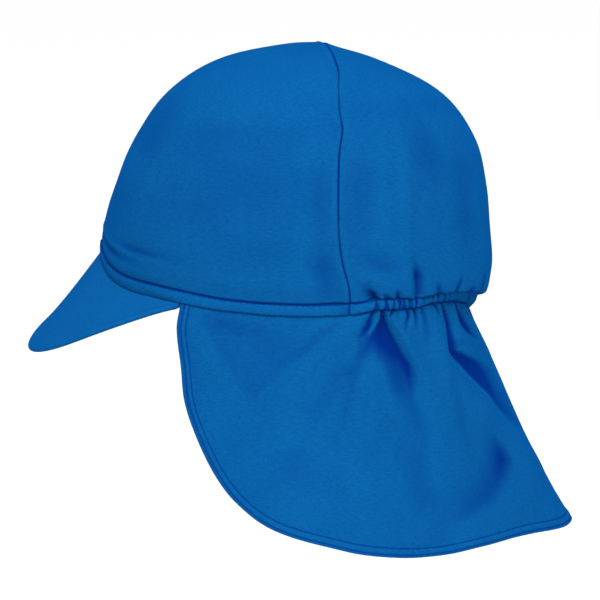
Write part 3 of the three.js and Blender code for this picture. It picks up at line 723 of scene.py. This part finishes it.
def arc_uv(points):
    """Weave coordinates of a grid: length along one of its rows, and length up each column."""
    return stacked(length_along(points[len(points) // 3]), length_along(points))


def with_tuck(angles, heights, *rows):
    """Rows of cloth behind the band or the casing, close to its inner face, and the seen rows after them.

    Both are points, normals, relief and painted shading, the hidden rows all in the painted shade of cloth
    behind the band.
    """
    angle, height = np.meshgrid(angles, heights)
    inward = np.full_like(angle, BAND_INNER - CLOTH / 2 - EDGE_GAP)
    hidden = (rim_surface(angle, height, inward), opening_normal(angle), np.zeros_like(angle),
              np.full_like(angle, HIDDEN_PAINTED_SHADE))
    return [np.concatenate(pair) for pair in zip(hidden, rows)]


def crown_panel(name, angles, seam_shift, lean):
    """One of the crown's two panels, from the band or the casing to the top of the seam."""
    levels = stepped((0, 0.024, 12), (0.024, 0.12, 20), (0.12, 0.5, 24), (0.5, 0.94, 22), (0.94, 1, 9))
    angle, up = np.meshgrid(angles, levels)
    point = crown_point(angle, up)
    relief = crown_relief(angle, up, point)
    dents = crown_dents(angle, up)
    # Painted shade in hollows, dents and the seam's groove, painted highlight on ridges, swellings and a
    # lip of the seam, and painted shade where the cloth goes under the band
    painted_shading = relief_painted_shading(angle, relief, 0.7, 4.2) + seam_painted_shading(point, up)
    painted_shading = painted_shading - dents * np.where(dents > 0, 0.5, 0.13)
    painted_shading = np.maximum(painted_shading, edge_painted_shade(height_up(up)))
    point[..., 1] += seam_wander(point, up)
    heights = np.linspace(BAND_HEIGHT - TUCK_LENGTH, BAND_HEIGHT, 4, endpoint=False)
    normal = crown_normal(angle, up, lean)
    middle, normal, push, painted_shading = with_tuck(angles, heights, point, normal, relief, painted_shading)
    middle[..., 1] += seam_shift
    return cloth_shell(name, middle, normal, push, arc_uv(middle), painted_shading, has_pole=True)


crown_front = crown_panel("crown_front_cloth", panel_angles(-90, 90, 321, 0.14), -SEAM_GAP, 0.0)
crown_back = crown_panel("crown_back_cloth", panel_angles(90, 270, 481, 0.2), SEAM_GAP, TOP_LEAN)

# Cross-section of the band and of the casing, from the lower edge up the outside and down the inside
BAND_PROFILE = columns(
    "height out",
    (0.06, -0.12), (0, 0.1), (0.04, 0.34), (0.2, 0.54), (0.5, 0.68), (0.95, 0.82), (1.5, 0.94),
    (2.1, 1.03), (2.85, 1.06), (3.6, 1.03), (4.2, 0.94), (4.75, 0.82), (5.2, 0.68), (5.5, 0.54),
    (5.66, 0.34), (5.7, 0.1), (5.64, -0.12), (5.2, BAND_INNER), (2.85, BAND_INNER), (0.5, BAND_INNER),
)


def rim_strip(name, angles, seam_shift, shape):
    """Band or casing along the rim. shape gives how far out and up each point of its cross-section lies."""
    angle, height = np.meshgrid(angles, BAND_PROFILE["height"], indexing="ij")
    out, rise, painted_shading = shape(angle, height, np.broadcast_to(BAND_PROFILE["out"], angle.shape))
    loops = rim_surface(angle, height + rise, out)
    loops[..., 1] += seam_shift
    uv = stacked(length_along(opening_point(angles, 0))[:, None], height)
    return swept(name, loops[:, ::-1], uv[:, ::-1], painted_shading[:, ::-1])


def crease_painted_shade(out):
    """Painted shade, deeper towards the two creases where the strip is sewn down."""
    return CREASE_PAINTED_SHADE * np.clip(1 - (out - 0.1) / 0.6, 0, 1)


def band_painted_shading(height, out):
    """Painted shade deep in the upper crease, and a little painted highlight in the lower one, which lies
    open.
    """
    upper = np.clip(height / BAND_HEIGHT * 4 - 1.5, 0, 1)
    return crease_painted_shade(out) * (1.45 * upper - 0.45)


def seam_pinch(angle):
    """How near a place is to the seam that joins the band and the casing, from 0 to 1."""
    return bump(mirrored(angle) - 90, 0.55)


def band_shape(angle, height, out):
    """The band's puckers between its stitches: how far out and up each point lies, and its painted shading.
    """
    outside = ramp(out, 0, 0.6)
    across = height / BAND_HEIGHT * 2 - 1
    pucker = 0.07 * np.sin(np.radians(angle) * 118 + 2 * np.sin(np.radians(angle) * 9)) * np.abs(across)
    sway = 0.2 * waves(angle * 1.6, height * 2, 3, 26)
    # Painted shade where the seam puckers the band, and a little painted highlight over the rest of its
    # face
    knot_painted_shade = 0.35 * bump(mirrored(angle) - 88, 2.5) + 0.6 * seam_pinch(angle)
    return (out + (pucker + sway - 0.3 * seam_pinch(angle)) * outside, np.zeros_like(out),
            band_painted_shading(height, out) + (knot_painted_shade - 0.12) * outside)


def casing_shape(angle, height, out):
    """The casing's gathers over the elastic: how far out and up each point lies, and its painted shading.
    """
    outside = ramp(out, 0, 0.6)
    across = height / BAND_HEIGHT * 2 - 1
    gathered = ramp(mirrored(angle), 95, 5)
    place = far_place(angle)
    place = place + 0.45 * np.sin(place * 1.7) * across
    behind = ramp(mirrored(angle), 122, 35)
    gap = gap_profile(place, 0.62 + 0.75 * behind) * gathered
    fine_gap = gap_profile(place * 1.37 - 46, 0.4 + 0.3 * behind) * gathered
    puff = (1.15 * gathered + 0.15) * np.sqrt(np.clip(1 - across ** 2, 0, 1))
    wrinkle = 0.3 * waves(angle * 1.5, height * 1.5, 8, 9)
    rise = across * gathered * (0.25 - 0.9 * gap) * outside
    # Painted highlight on the gathers' puffs, stronger at the back, and painted shade in the gaps between
    # them and at the seam
    light = (0.5 + 2.6 * behind) * gathered * (1 - gap) * (1 - fine_gap) * outside
    painted_shading = np.clip(1.4 * gap + 0.6 * fine_gap - light, -3, 2)
    pinch = seam_pinch(angle)
    return (out + (puff + wrinkle - 1.7 * gap - 0.45 * fine_gap - 0.3 * pinch) * outside, rise,
            np.maximum(painted_shading + 0.6 * pinch, crease_painted_shade(out)))


headband = rim_strip("headband_cloth", np.linspace(-90, 90, 361), -SEAM_GAP, band_shape)
casing = rim_strip("elastic_casing_cloth", np.linspace(90, 270, 1201), SEAM_GAP, casing_shape)

# The outline of the flap, told by a share from its near front corner to the middle of the back
OUTLINE_STEPS = {"step": np.linspace(0, 1, len(FLAP_OUTLINE["angle"])), **FLAP_OUTLINE}
CORNER_SHARE = CORNER_ROW / (len(FLAP_OUTLINE["angle"]) - 1)
# How far from its edge the flap's own cloth ends in the hem
FLAP_INNER_EDGE = 1.6
# The share of a half of the flap that lies in front of its folds, and of the columns that it has
PLAIN_COLUMNS = 0.17
PLAIN_SHARE = 0.42


def whole_outline(share, distance):
    """Angle and drop of a point of the outline moved into the flap by a distance along its cloth.

    The share runs from the near front corner round the back to the far one.
    """
    half = to_middle(share)
    angle, drop = read_all(OUTLINE_STEPS, half).values()
    before = read_all(OUTLINE_STEPS, np.maximum(half - 0.01, 0))
    after = read_all(OUTLINE_STEPS, np.minimum(half + 0.01, 1))
    per_degree = np.linalg.norm(flap_point(angle + 0.5, drop) - flap_point(angle - 0.5, drop), axis=-1)
    along_angle = (after["angle"] - before["angle"]) * per_degree
    along_drop = after["drop"] - before["drop"]
    length = np.hypot(along_angle, along_drop)
    angle = angle + distance * along_drop / length / per_degree
    drop = np.maximum(drop - distance * along_angle / length, 0)
    return np.where(share <= 0.5, angle, 360 - angle), drop


def flap_grid(shares, levels):
    """Angles and drops of a grid of the flap's cloth, filled in between its four edges."""
    def inside(share):
        return np.array(whole_outline(share, FLAP_INNER_EDGE))

    s, v = np.meshgrid(shares, np.clip(levels, 0, 1))
    turn = CORNER_SHARE / 2
    first = inside(np.array([[0.0]])) * [[[1]], [[0]]]
    last = [[[360]], [[0]]] - first * [[[1]], [[-1]]]
    across = (1 - v) * (first + (last - first) * s) + v * inside(turn + (1 - CORNER_SHARE) * s)
    along = (1 - s) * inside(turn * v) + s * inside(1 - turn * v)
    hem_ends = (1 - s) * inside(np.array([[turn]])) + s * inside(np.array([[1 - turn]]))
    return across + along - (1 - v) * ((1 - s) * first + s * last) - v * hem_ends


def column_share(t):
    """Places of the flap's columns, closer together where it is folded."""
    half = to_middle(t)
    plain = half / PLAIN_COLUMNS * PLAIN_SHARE
    folded = PLAIN_SHARE + (half - PLAIN_COLUMNS) / (1 - PLAIN_COLUMNS) * (1 - PLAIN_SHARE)
    share = np.where(half < PLAIN_COLUMNS, plain, folded)
    return np.where(t <= 0.5, share / 2, 1 - share / 2)


def flap_cloth():
    """The flap, from the band and the casing to just inside its hem."""
    levels = stepped((0, 0.03, 12), (0.03, 0.3, 36), (0.3, 1, 50))
    angle, drop = flap_grid(column_share(np.linspace(0, 1, 461)), levels)
    relief = flap_relief(angle, drop)
    # Painted shade in the hollows and the listed shade marks, and painted highlight on ridges and the light
    # marks
    shade = creases(FLAP_SHADES, far_place(angle), drop)
    painted_shading = np.clip(relief_painted_shading(angle, relief, 1.0, 3.0) + shade, BRIGHTEST_PAINTED_HIGHLIGHT, 1)
    # Painted shade where the flap goes under the casing, less under the shade marks, and a painted
    # highlight along its top edge in front of the elastic
    gathered = ramp(mirrored(angle), 88, 10)
    painted_shading = np.maximum(painted_shading, edge_painted_shade(drop) * (1 - np.clip(shade, 0, 1)) * gathered)
    painted_shading = painted_shading - 0.8 * bump(drop, 0.7) * (1 - gathered)
    heights = np.linspace(TUCK_LENGTH, 0, 4, endpoint=False)
    rows = with_tuck(angle[0], heights, flap_point(angle, drop), flap_normal(angle, drop), relief, painted_shading)
    middle, normal, push, painted_shading = (grid[::-1] for grid in rows)
    return cloth_shell("neck_flap_cloth", middle, normal, push, arc_uv(middle), painted_shading)


neck_flap = flap_cloth()

# The hem: how far from its edge the outer row of stitches runs, in front and below, and the inner one
FRONT_ROW = 2.4
BOTTOM_ROW = 1.65
INNER_ROW = 5.0
HEM_PITCH = 2.9
HEM_SHARES = np.linspace(0, 1, 1101)
# Outer half of the hem's cross-section, grooved at both rows of stitches. The distance from the edge
# counts from the outer row where with_row is 1.
HEM_PROFILE = columns(
    "distance with_row out",
    (6, 0, 0.5), (5.6, 0, 0.62), (INNER_ROW + 0.25, 0, 0.7), (INNER_ROW, 0, 0.55),
    (INNER_ROW - 0.25, 0, 0.72), (4.3, 0, 0.94), (0.9, 1, 0.97), (0.25, 1, 0.8), (0, 1, 0.62),
    (-0.25, 1, 0.8), (0.55, 0, 0.82), (0.22, 0, 0.6), (0.04, 0, 0.3),
)
# The inside of the hem, where the flap's cloth ends
HEM_CAVITY = columns("distance out", (6.0, -0.47), (1.35, -0.47), (1.2, 0.0), (1.35, 0.47), (6.0, 0.47))


def outer_row(shares):
    """How far the outer row of stitches runs from the edge at shares of the outline."""
    turn = ramp(to_middle(shares), 0.3, 0.25)
    return FRONT_ROW + (BOTTOM_ROW - FRONT_ROW) * turn


def flap_place(share, distance, offset):
    """Point of the draped flap near its edge, and its normal there."""
    angle, drop = whole_outline(share, distance)
    normal = flap_normal(angle, drop)
    push = flap_relief(angle, drop) + offset
    return flap_point(angle, drop) + normal * push[..., None], normal


def hem_cloth(shares):
    """The hem, folded round the edge of the flap and drawn in a little by each stitch."""
    row = outer_row(shares)[:, None]
    distance = HEM_PROFILE["distance"] + HEM_PROFILE["with_row"] * row
    along = length_along(flap_point(*whole_outline(shares, np.zeros_like(shares))))[:, None]
    ripple = 1 + 0.09 * np.sin(along * 2 * math.pi / HEM_PITCH) * np.where(distance > 1, 1, 0.4)
    thick = 0.85 * HEM_PROFILE["out"] * ripple
    edge = np.zeros((len(shares), 1))
    cavity = [np.tile(HEM_CAVITY[name], (len(shares), 1)) for name in ("distance", "out")]
    distance = np.concatenate([distance, edge, distance[:, ::-1], cavity[0]], 1)
    offset = np.concatenate([thick, edge, -thick[:, ::-1], cavity[1]], 1)
    loops, _ = flap_place(np.broadcast_to(shares[:, None], distance.shape), distance, offset)
    # Painted shade along both rows of stitches
    painted_shading = bump(distance - INNER_ROW, 0.26) + bump(distance - row, 0.26)
    return swept("flap_hem_cloth", loops, stacked(along, distance), painted_shading)


flap_hem = hem_cloth(HEM_SHARES)


def peak_point(across, out):
    """Curved peak: between the band's lower edge, out 0, and its own outer edge, out 1."""
    root = opening_point(across * PEAK_HALF_ANGLE, -EDGE_GAP - PEAK_CLOTH / 2)
    turn = across * math.pi / 2
    tip = stacked(
        PEAK_HALF_WIDTH * np.sin(turn),
        PEAK_END_Y + (PEAK_TIP_Y - PEAK_END_Y) * np.cos(turn),
        PEAK_END_Z + (PEAK_TIP_Z - PEAK_END_Z) * np.cos(turn) ** PEAK_EDGE_BEND,
    )
    point = root * (1 - out[..., None]) + tip * out[..., None]
    point[..., 2] += PEAK_CROWN * np.sin(out * math.pi) * np.cos(turn)
    return point


# Cross-section of the peak's edge from the top round to the underside: the distance from the edge and
# the share of half its thickness
PEAK_ROUND = columns(
    "inward side",
    (2.6, 1), (1.7, 0.99), (1.1, 0.93), (0.65, 0.8), (0.3, 0.6), (0.08, 0.32), (0, 0.02), (0.05, -0.16),
    (0.34, -0.3), (0.1, -0.46), (0.3, -0.66), (0.75, -0.86), (1.4, -0.97), (2.6, -1),
)
# The root of the peak, which goes on behind the band
PEAK_ROOT = columns(
    "height out", (-1.9, -1.3), (-0.6, -1.2), (2.4, -1.1), (2.4, -0.36), (0.2, -0.36), (-0.12, -0.1),
)
PEAK_STEPS = 181
PEAK_ROWS = 26
# How close to a right angle the ends of the peak come, which sets how its steps spread
PEAK_SPREAD = 0.93 * math.pi / 2


def peak_cloth_piece():
    """The peak and its root, as cross-sections from one end round to the other."""
    steps = np.sin(np.linspace(-1, 1, PEAK_STEPS) * PEAK_SPREAD) / math.sin(PEAK_SPREAD) * PEAK_END_SHARE
    reach = peak_point(steps, np.ones_like(steps)) - peak_point(steps, np.zeros_like(steps))
    width = np.linalg.norm(reach, axis=-1)
    inward, side = PEAK_ROUND.values()
    face = np.linspace(0, 1, PEAK_ROWS)[:, None] * (1 - inward[0] / width)
    out = np.concatenate([face, 1 - inward[1:-1, None] / width, face[::-1]]).T
    side = np.concatenate([np.ones(PEAK_ROWS), side[1:-1], -np.ones(PEAK_ROWS)])
    across = np.broadcast_to(steps[:, None], out.shape)
    normal = normal_at(lambda a, inset: peak_point(a, 1 - inset), np.clip(across, -0.97, 0.97),
                       np.clip(1 - out, 0.02, 0.98), 0.01, 0.01)
    sway = 0.22 * waves(across * 70, out * 50, 21, 60)
    body = peak_point(across, out) + normal * (side * PEAK_CLOTH / 2 + sway)[..., None]
    # Painted shade along the seam under the peak's edge, and a painted highlight over the rest of the peak
    seam_shade_and_highlight = 1.4 * bump(side + 0.3, 0.14) * (np.abs(side) < 0.95) - 0.5
    angle, height = np.meshgrid(steps * PEAK_HALF_ANGLE, PEAK_ROOT["height"], indexing="ij")
    root = rim_surface(angle, height, np.broadcast_to(PEAK_ROOT["out"], angle.shape))
    uv = np.concatenate([stacked(across * 80, out * 55), stacked(angle * 1.4, height)], 1)
    painted_shading = np.concatenate([np.broadcast_to(seam_shade_and_highlight, out.shape), np.zeros_like(angle)], 1)
    return swept("peak_cloth", np.concatenate([body, root], 1), uv, painted_shading)


peak = peak_cloth_piece()


def thread(name, path, normals, pitch, length, radius, sink):
    """Row of small stitches along a path of points, each a rounded bar that dips in at its ends."""
    along = length_along(path)
    starts = np.arange(pitch / 2, along[-1] - pitch, pitch)
    part = np.array([0, 0.12, 0.35, 0.65, 0.88, 1.0])
    size = np.array([0.35, 0.8, 1.0, 1.0, 0.8, 0.35]) * radius
    lift = np.array([-0.9, -0.3, 0.1, 0.1, -0.3, -0.9]) * radius - sink
    places = starts[:, None] + part * length
    centre = np.stack([np.interp(places, along, path[:, k]) for k in range(3)], -1)
    normal = unit(np.stack([np.interp(places, along, normals[:, k]) for k in range(3)], -1))
    tangent = unit(np.gradient(centre, axis=1))
    side = unit(np.cross(tangent, normal))
    turns = np.arange(6) * math.pi / 3
    spoke = (normal[:, :, None] * np.cos(turns)[:, None] + side[:, :, None] * np.sin(turns)[:, None])
    points = centre[:, :, None] + normal[:, :, None] * lift[:, None, None] + spoke * size[:, None, None]
    index = np.arange(points[..., 0].size).reshape(points.shape[:3])
    following = np.roll(index, -1, axis=2)
    quads = np.stack([index[:, :-1], index[:, 1:], following[:, 1:], following[:, :-1]], -1).reshape(-1, 4)
    faces = quads.tolist() + index[:, 0].tolist() + index[:, -1, ::-1].tolist()
    return new_object(name, points.reshape(-1, 3), faces)


# How high up the band its two rows of stitches lie, how far out, and how long a step of each is
TOP_STITCHES = BAND_HEIGHT - 0.36
LOW_STITCHES = 0.36
RIM_STITCH_OUT = 0.62
BAND_PITCH = 2.6
CASING_PITCH = 2.0
HEM_STITCH_OUT = 0.55


def hem_stitches(name, distances):
    """Stitches along the hem, at distances from its edge."""
    path, normals = flap_place(HEM_SHARES, distances, np.full_like(HEM_SHARES, HEM_STITCH_OUT))
    return thread(name, path[3:-3], normals[3:-3], HEM_PITCH, 2.25, 0.17, 0.04)


def rim_stitches(name, height, angles, shape, pitch):
    """Stitches along an edge of the band or the casing, following its gathers."""
    level = np.full_like(angles, height)
    out, rise, _ = shape(angles, level, np.full_like(angles, RIM_STITCH_OUT))
    path = rim_surface(angles, level + rise, out)
    return thread(name, path, opening_normal(angles), pitch, pitch * 0.76, 0.15, 0.0)


hem_outer_stitches = hem_stitches("hem_outer_stitches", outer_row(HEM_SHARES))
hem_inner_stitches = hem_stitches("hem_inner_stitches", np.full_like(HEM_SHARES, INNER_ROW))
band_angles = np.linspace(-89, 89, 500)
casing_angles = np.linspace(91, 269, 700)
on_band = (band_angles, band_shape, BAND_PITCH)
on_casing = (casing_angles, casing_shape, CASING_PITCH)
band_top_stitches = rim_stitches("band_top_stitches", TOP_STITCHES, *on_band)
band_low_stitches = rim_stitches("band_low_stitches", LOW_STITCHES, *on_band)
casing_top_stitches = rim_stitches("casing_top_stitches", TOP_STITCHES, *on_casing)
casing_low_stitches = rim_stitches("casing_low_stitches", LOW_STITCHES, *on_casing)


BLUE = (0.0010, 0.039, 0.132, 1)
BLUE_WORN = (0.0018, 0.056, 0.164, 1)
# Painted highlight for ridges, painted shade for hollows, and a bluer painted shade for creases, grooves
# and gaps
BLUE_PAINTED_HIGHLIGHT = (0.0030, 0.078, 0.235, 1)
BLUE_PAINTED_SHADE = (0.0003, 0.005, 0.092, 1)
BLUE_PAINTED_CREASE_SHADE = (0.0004, 0.040, 0.20, 1)
BLUE_THREAD = (0.0003, 0.032, 0.19, 1)
PALE = (0.93, 0.93, 0.93, 1)
# The share of the painted highlight's blue on the lightest ridges
PAINTED_HIGHLIGHT_SHARE = 0.38
# The width of a rib of the knit and the height of a row of its loops
WALE = 0.52
COURSE = 0.44


def fill(tree, sockets, values):
    """Gives each socket its number or colour, or its link."""
    for socket, value in zip(sockets, values):
        if isinstance(value, bpy.types.NodeSocket):
            tree.links.new(value, socket)
        else:
            socket.default_value = value


def maths(tree, operation, *values):
    made = tree.nodes.new("ShaderNodeMath")
    made.operation = operation
    fill(tree, made.inputs, values)
    return made.outputs[0]


def mixed(tree, share, first, second):
    made = tree.nodes.new("ShaderNodeMix")
    made.data_type = "RGBA"
    fill(tree, (made.inputs[0], made.inputs[6], made.inputs[7]), (share, first, second))
    return made.outputs[2]


def noise(tree, place, size, detail, roughness=0.5):
    made = tree.nodes.new("ShaderNodeTexNoise")
    fill(tree, [made.inputs[name] for name in ("Scale", "Detail", "Roughness", "Vector")],
         (1 / size, detail, roughness, place))
    return made.outputs["Fac"]


def bumped(tree, shader, height, strength, distance):
    """Fine relief of a surface from a height."""
    made = tree.nodes.new("ShaderNodeBump")
    fill(tree, [made.inputs[name] for name in ("Strength", "Distance", "Height")],
         (strength, distance, height))
    tree.links.new(made.outputs[0], shader.inputs["Normal"])


def matt(name, roughness=0.6):
    """New material with no gloss, its nodes and its shader."""
    material = bpy.data.materials.new(name)
    material.use_nodes = True
    shader = material.node_tree.nodes["Principled BSDF"]
    shader.inputs["Roughness"].default_value = roughness
    shader.inputs["Specular IOR Level"].default_value = 0.0
    return material, material.node_tree, shader


def darkened(colour, share):
    return tuple(c * share for c in colour[:3]) + (1,)


def knit_cloth(name, depth=1.0):
    """Fine smooth knit: ribs and rows of loops in relief, streaks along the rows, uneven dye, sheen, and
    the mesh's painted shade and highlight, as strong as depth.
    """
    material, tree, shader = matt(name)
    uv = tree.nodes.new("ShaderNodeUVMap")
    uv.uv_map = "weave"
    place = tree.nodes.new("ShaderNodeTexCoord").outputs["Object"]
    split = tree.nodes.new("ShaderNodeSeparateXYZ")
    tree.links.new(uv.outputs[0], split.inputs[0])
    rib = maths(tree, "SINE", maths(tree, "MULTIPLY", split.outputs[0], 2 * math.pi / (WALE * MM)))
    row = maths(tree, "SINE", maths(tree, "MULTIPLY", split.outputs[1], 2 * math.pi / (COURSE * MM)))
    ribs = maths(tree, "MULTIPLY", rib, 0.3)
    loops = maths(tree, "MULTIPLY_ADD", maths(tree, "MULTIPLY", rib, row), 0.35, ribs)
    fibre = noise(tree, place, 0.0008, 2)
    mottle = noise(tree, place, 0.022, 4, 0.6)
    stretch = tree.nodes.new("ShaderNodeMapping")
    stretch.inputs["Scale"].default_value = (0.28, 1, 1)
    tree.links.new(uv.outputs[0], stretch.inputs["Vector"])
    streak = noise(tree, stretch.outputs[0], 0.0009, 3, 0.6)
    bumped(tree, shader, maths(tree, "MULTIPLY_ADD", fibre, 1.2, loops), 0.35, 0.00012)
    worn = maths(tree, "MULTIPLY_ADD", mottle, 0.8, -1.5)
    worn = maths(tree, "MULTIPLY_ADD", streak, 1.9, worn)
    worn = maths(tree, "MULTIPLY_ADD", fibre, 1.3, worn)
    # Painted shading from the mesh mixes in the painted shade blue, past 1 the crease shade blue, and below
    # 0 the painted highlight blue; depth sets how strong shade and highlight are
    painted_shading = tree.nodes.new("ShaderNodeAttribute")
    painted_shading.attribute_name = "painted_shading"
    painted_shading = painted_shading.outputs["Fac"]
    colour = mixed(tree, worn, BLUE, BLUE_WORN)
    colour = mixed(tree, maths(tree, "MULTIPLY", painted_shading, depth), colour, BLUE_PAINTED_SHADE)
    colour = mixed(tree, maths(tree, "SUBTRACT", painted_shading, 1.0), colour, BLUE_PAINTED_CREASE_SHADE)
    colour = mixed(tree, maths(tree, "MULTIPLY", painted_shading, -PAINTED_HIGHLIGHT_SHARE * depth), colour, BLUE_PAINTED_HIGHLIGHT)
    tree.links.new(colour, shader.inputs["Base Color"])
    tree.links.new(maths(tree, "MULTIPLY_ADD", fibre, 0.16, 0.6), shader.inputs["Roughness"])
    shader.inputs["Sheen Weight"].default_value = 0.09
    shader.inputs["Sheen Roughness"].default_value = 0.6
    shader.inputs["Sheen Tint"].default_value = (0, 0.18, 1, 1)
    return material


def thread_material(name, colour):
    """Sewing thread: twisted strands in relief."""
    material, tree, shader = matt(name)
    place = tree.nodes.new("ShaderNodeTexCoord").outputs["Object"]
    strands = tree.nodes.new("ShaderNodeTexWave")
    strands.bands_direction = "DIAGONAL"
    strands.inputs["Scale"].default_value = 1400
    tree.links.new(place, strands.inputs["Vector"])
    bumped(tree, shader, strands.outputs["Fac"], 0.4, 0.00006)
    blend = mixed(tree, strands.outputs["Fac"], darkened(colour, 0.6), colour)
    tree.links.new(blend, shader.inputs["Base Color"])
    return material


def floor_material(name, colour):
    """Plain paper, hardly uneven in its shade."""
    material, tree, shader = matt(name, 0.9)
    grain = tree.nodes.new("ShaderNodeTexNoise")
    grain.inputs["Scale"].default_value = 3
    blend = mixed(tree, grain.outputs["Fac"], colour, darkened(colour, 0.985))
    tree.links.new(blend, shader.inputs["Base Color"])
    return material


panel_cloth = knit_cloth("panel_knit", 0.85)
band_cloth = knit_cloth("band_knit", 0.9)
peak_cloth = knit_cloth("peak_knit", 0.8)
blue_thread = thread_material("blue_thread", BLUE_THREAD)

for made, material, slot, replaced in (
    (crown_front, panel_cloth, "panel_cloth", "crown_front"),
    (crown_back, panel_cloth, "panel_cloth", "crown_back"),
    (neck_flap, panel_cloth, "panel_cloth", "neck_flap"),
    (headband, band_cloth, "band_cloth", "headband"),
    (casing, band_cloth, "band_cloth", "elastic_casing"),
    (flap_hem, band_cloth, "band_cloth", "flap_hem"),
    (peak, peak_cloth, "peak_cloth", "peak"),
):
    made.data.materials.append(material)
    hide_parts(replaced)
    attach(made, "root")

for made in (hem_outer_stitches, hem_inner_stitches, band_top_stitches, band_low_stitches,
             casing_top_stitches, casing_low_stitches):
    made.data.materials.append(blue_thread)
    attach(made, "root")


# The hat is held up as a head holds it, well above a plain pale floor
FLOOR_Z = -1.2
FLOOR_RADIUS = 40.0
FLOOR_SIDES = 96
floor_turn = np.linspace(0, 2 * math.pi, FLOOR_SIDES, endpoint=False)
floor_points = stacked(FLOOR_RADIUS * np.cos(floor_turn), FLOOR_RADIUS * np.sin(floor_turn), FLOOR_Z) / MM
floor = new_object("floor", floor_points, [list(range(FLOOR_SIDES))])
floor.data.materials.append(floor_material("pale_floor", PALE))

world = bpy.data.worlds.new("pale_studio")
bpy.context.scene.world = world
world.use_nodes = True
world.node_tree.nodes["Background"].inputs["Color"].default_value = (1, 1, 1, 1)
world.node_tree.nodes["Background"].inputs["Strength"].default_value = 1.06


def facing(name, data, target, azimuth, elevation, distance):
    """Light or camera that looks at a point from a side, the front being 0 and the wearer's left 90."""
    a = math.radians(azimuth)
    e = math.radians(elevation)
    back = Vector((math.sin(a) * math.cos(e), -math.cos(a) * math.cos(e), math.sin(e)))
    made = bpy.data.objects.new(name, data)
    made.location = target + back * distance
    made.rotation_mode = "QUATERNION"
    made.rotation_quaternion = back.to_track_quat("Z", "Y")
    bpy.context.scene.collection.objects.link(made)
    return made


def soft_light(name, azimuth, elevation, distance, size, watts):
    """Large square light that faces the hat."""
    data = bpy.data.lights.new(name, "AREA")
    data.size = size
    data.energy = watts
    facing(name, data, Vector((0, 0, 0)), azimuth, elevation, distance)


soft_light("key_light", 90, 60, 2.2, 1.3, 78)
soft_light("fill_light", 96, 2, 2.4, 1.8, 29)
soft_light("low_light", 88, -50, 0.5, 0.35, 1.0)

# The camera stands where the photograph was taken from
CAMERA_AZIMUTH = 86.5
CAMERA_ELEVATION = 15.0
CAMERA_DISTANCE = 1.1
CAMERA_TARGET = Vector((0, 0.0065, -0.012))
HALF_VIEW = 0.15
SENSOR = 36
camera_data = bpy.data.cameras.new("camera")
camera_data.sensor_width = SENSOR
camera_data.lens = SENSOR / 2 * CAMERA_DISTANCE / HALF_VIEW
camera = facing("camera", camera_data, CAMERA_TARGET, CAMERA_AZIMUTH, CAMERA_ELEVATION, CAMERA_DISTANCE)
bpy.context.scene.camera = camera
bpy.context.scene.view_settings.view_transform = "Standard"
